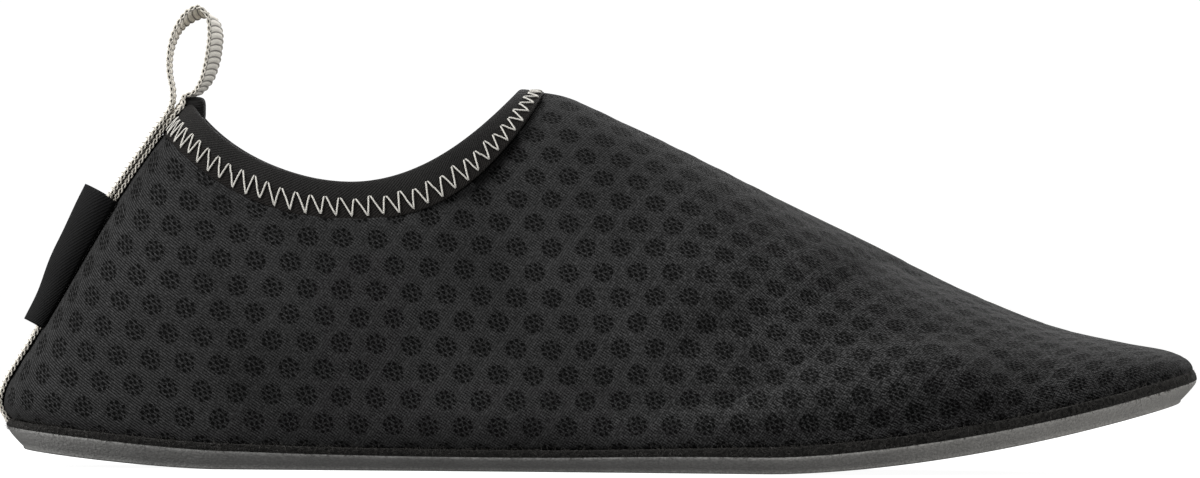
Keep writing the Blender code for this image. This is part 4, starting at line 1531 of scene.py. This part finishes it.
def loopStrip(widths):
    curve = readTable(loopColumns, loopRows)
    foot = upperPoint(0.0, backTurn(shoe["heelHeight"]), outerSide)
    forward = foot[0] + curve["forward"] * tapeLook["loopLength"]
    upward = foot[2] + curve["up"] * tapeLook["loopHeight"]
    middle = np.stack((forward, 0 * forward, upward), axis=-1)
    across = unit(np.stack((curve["turnForward"], 1 + 0 * forward, -curve["turnDown"]), axis=-1))
    return middle[:, None] + across[:, None] * np.array(widths)[:, None]


def tapeSurface():
    # The tape's middle surface: the strip up the seam, the loop and the strip down, joined by a
    # smooth curve through their rows and read again at even steps of its length.
    widths = np.linspace(-tapeLook["width"] / 2, tapeLook["width"] / 2, tapeLook["columns"])
    edge, thickness, gap = backTurn(shoe["heelHeight"]), tapeLook["thickness"], shoe["gap"]
    top = turnsAlongBack(edge, 0, tapeLook["frontDrop"], 2)[-1]
    split = turnsAlongBack(edge, 0, tapeLook["backDrop"], 2)[-1]
    foot = backTurn(feltTop(0.0) + 1.5 * gap)
    upTurns = np.linspace(foot, top, 22)
    run = np.linalg.norm(upperPoint(0.0, split, outerSide) - upperPoint(0.0, tabTopTurn(), outerSide))
    downTurns = turnsAlongBack(split, 0, run + tapeLook["endDepth"], 10)
    innerRun = gap + thickness / 2 + bindingStep(upTurns)
    outerRun = 2 * gap + thickness * 1.5 + bindingStep(downTurns)
    coarse = np.concatenate(
        (backStrip(upTurns, widths, innerRun), loopStrip(widths), backStrip(downTurns, widths, outerRun))
    )
    knots = runAlong(coarse[:, tapeLook["columns"] // 2])
    where = np.linspace(0, knots[-1], int(knots[-1] / tapeLook["rowStep"]))
    return where, widths, smoothCurve(knots, coarse, where)


def surfaceNormal(points):
    # The cross product of the two directions of a grid.
    return unit(np.cross(np.gradient(points, axis=0), np.gradient(points, axis=1)))


def flatTube(front, behind):
    # A tube from its front and its mirrored back, with a row of quads across each end.
    points = np.concatenate((front, behind), axis=1)
    rows, columns = points.shape[:2]
    half = front.shape[1]
    faces = [gridFaces(rows, columns, closeColumns=True)]
    for row, flip in ((0, False), (rows - 1, True)):
        strip = row * columns + np.arange(half - 1)
        mirror = row * columns + columns - 1 - np.arange(half - 1)
        quad = np.stack((strip, mirror, mirror - 1, strip + 1), axis=-1)
        faces.append(quad[:, ::-1] if flip else quad)
    return points, np.concatenate(faces)


def makeTape():
    look = tapeLook
    where, widths, middle = tapeSurface()
    normal = surfaceNormal(middle)
    # Each rib is half a sine across its pitch. It bows back towards its ends and thins there.
    across = widths / (look["width"] / 2)
    phase = where[:, None] / look["ribPitch"] + look["ribBow"] * across**2
    rib = abs(np.sin(math.pi * phase)) ** 0.7 - 0.5 + look["ribUneven"] * uneven(np.floor(phase), 4)
    body = (1 - across**8) * 0.5 + 0.5
    half = (look["thickness"] / 2 - look["edgeThin"]) * body
    half = (half + look["ribHeight"] * rib * (1 - across**6))[..., None]
    points, faces = flatTube(middle + normal * half, (middle - normal * half)[:, ::-1])
    acrossMap = np.concatenate((widths, widths[::-1]))
    uv = np.stack(np.broadcast_arrays(where[:, None], acrossMap[None, :]), axis=-1)
    piece = makePiece("ribbed_tape", (points, faces, uv), tapeMaterial(), 1e-6)
    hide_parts("heel_loop_tape")
    makeSelvedge(where, middle, normal)


def makeSelvedge(where, middle, normal):
    # Two strands along each edge that cross once in each pitch, with an eye between.
    look, tubes = tapeLook, []
    fine = np.linspace(0, where[-1], int(where[-1] / look["ribPitch"]) * look["strandSteps"])
    index = np.interp(fine, where, np.arange(len(where)))
    low = np.clip(index.astype(int), 0, len(where) - 2)
    share = (index - low)[:, None]
    swing = math.pi * fine / look["ribPitch"]

    def atEdge(values):
        return values[low] * (1 - share) + values[low + 1] * share

    for column, neighbour in ((0, 1), (-1, -2)):
        edge = atEdge(middle[:, column])
        outward = unit(edge - atEdge(middle[:, neighbour]))
        lift = atEdge(normal[:, column])
        for sign in (1, -1):
            reach = look["eyeHalf"] * np.sin(swing) * sign
            cross = look["strandCross"] * np.cos(swing) * sign + look["strandOut"]
            path = edge + lift * reach[:, None] + outward * cross[:, None]
            tubes.append((path, outward, look["strandRadius"]))
    piece = makePiece("tape_selvedge", joinTubes(tubes), yarnMaterial("paleSelvedge"), 1e-7)


def makeTab():
    # A flat tube of twill: half an arch over the tape, carried down the back seam.
    look, columns = tabLook, tabLook["columns"]
    turns = turnsAlongBack(tabTopTurn(), 0, look["length"], look["rows"])
    place = np.linspace(0, 1, look["rows"])
    depths = look["topDepth"] + (look["bottomDepth"] - look["topDepth"]) * place
    depths = depths - look["wall"] / 2 - shoe["gap"]
    # The limp cloth waves a little: two sines along it change its depth.
    depths = depths * (1 + look["bow"] * np.sin(math.pi * place) ** 2)
    depths = depths * (1 + look["wave"] * np.sin(13.0 * place + 0.8) * place)
    arch = np.linspace(0, math.pi, columns)
    widths = -np.cos(arch) * (look["width"] - look["wall"]) / 2
    out = shoe["gap"] + depths[:, None] * abs(np.sin(arch)) ** 0.6
    middle = np.array([backRow(turn, widths, row) for turn, row in zip(turns, out)])
    half = surfaceNormal(middle) * look["wall"] / 2
    points, faces = flatTube(middle + half, (middle - half)[:, ::-1])
    along, down = runAlong(middle[0]), runAlong(middle[:, columns // 2])
    u = np.concatenate((along, along[::-1]))
    uv = np.stack(np.broadcast_arrays(u[None, :], down[:, None]), axis=-1)
    piece = makePiece("twill_tab", (points, faces, uv), twillMaterial(), 1e-6)
    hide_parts("heel_tab")


makeUpper()
print("upper made")
makeOutsole()
makeFelt()
makeFuzz()
makeFootbed()
print("sole made")
makeCollar()
makeFold()
makeStitch()
print("collar made")
makeTape()
makeTab()
print("tape and tab made")
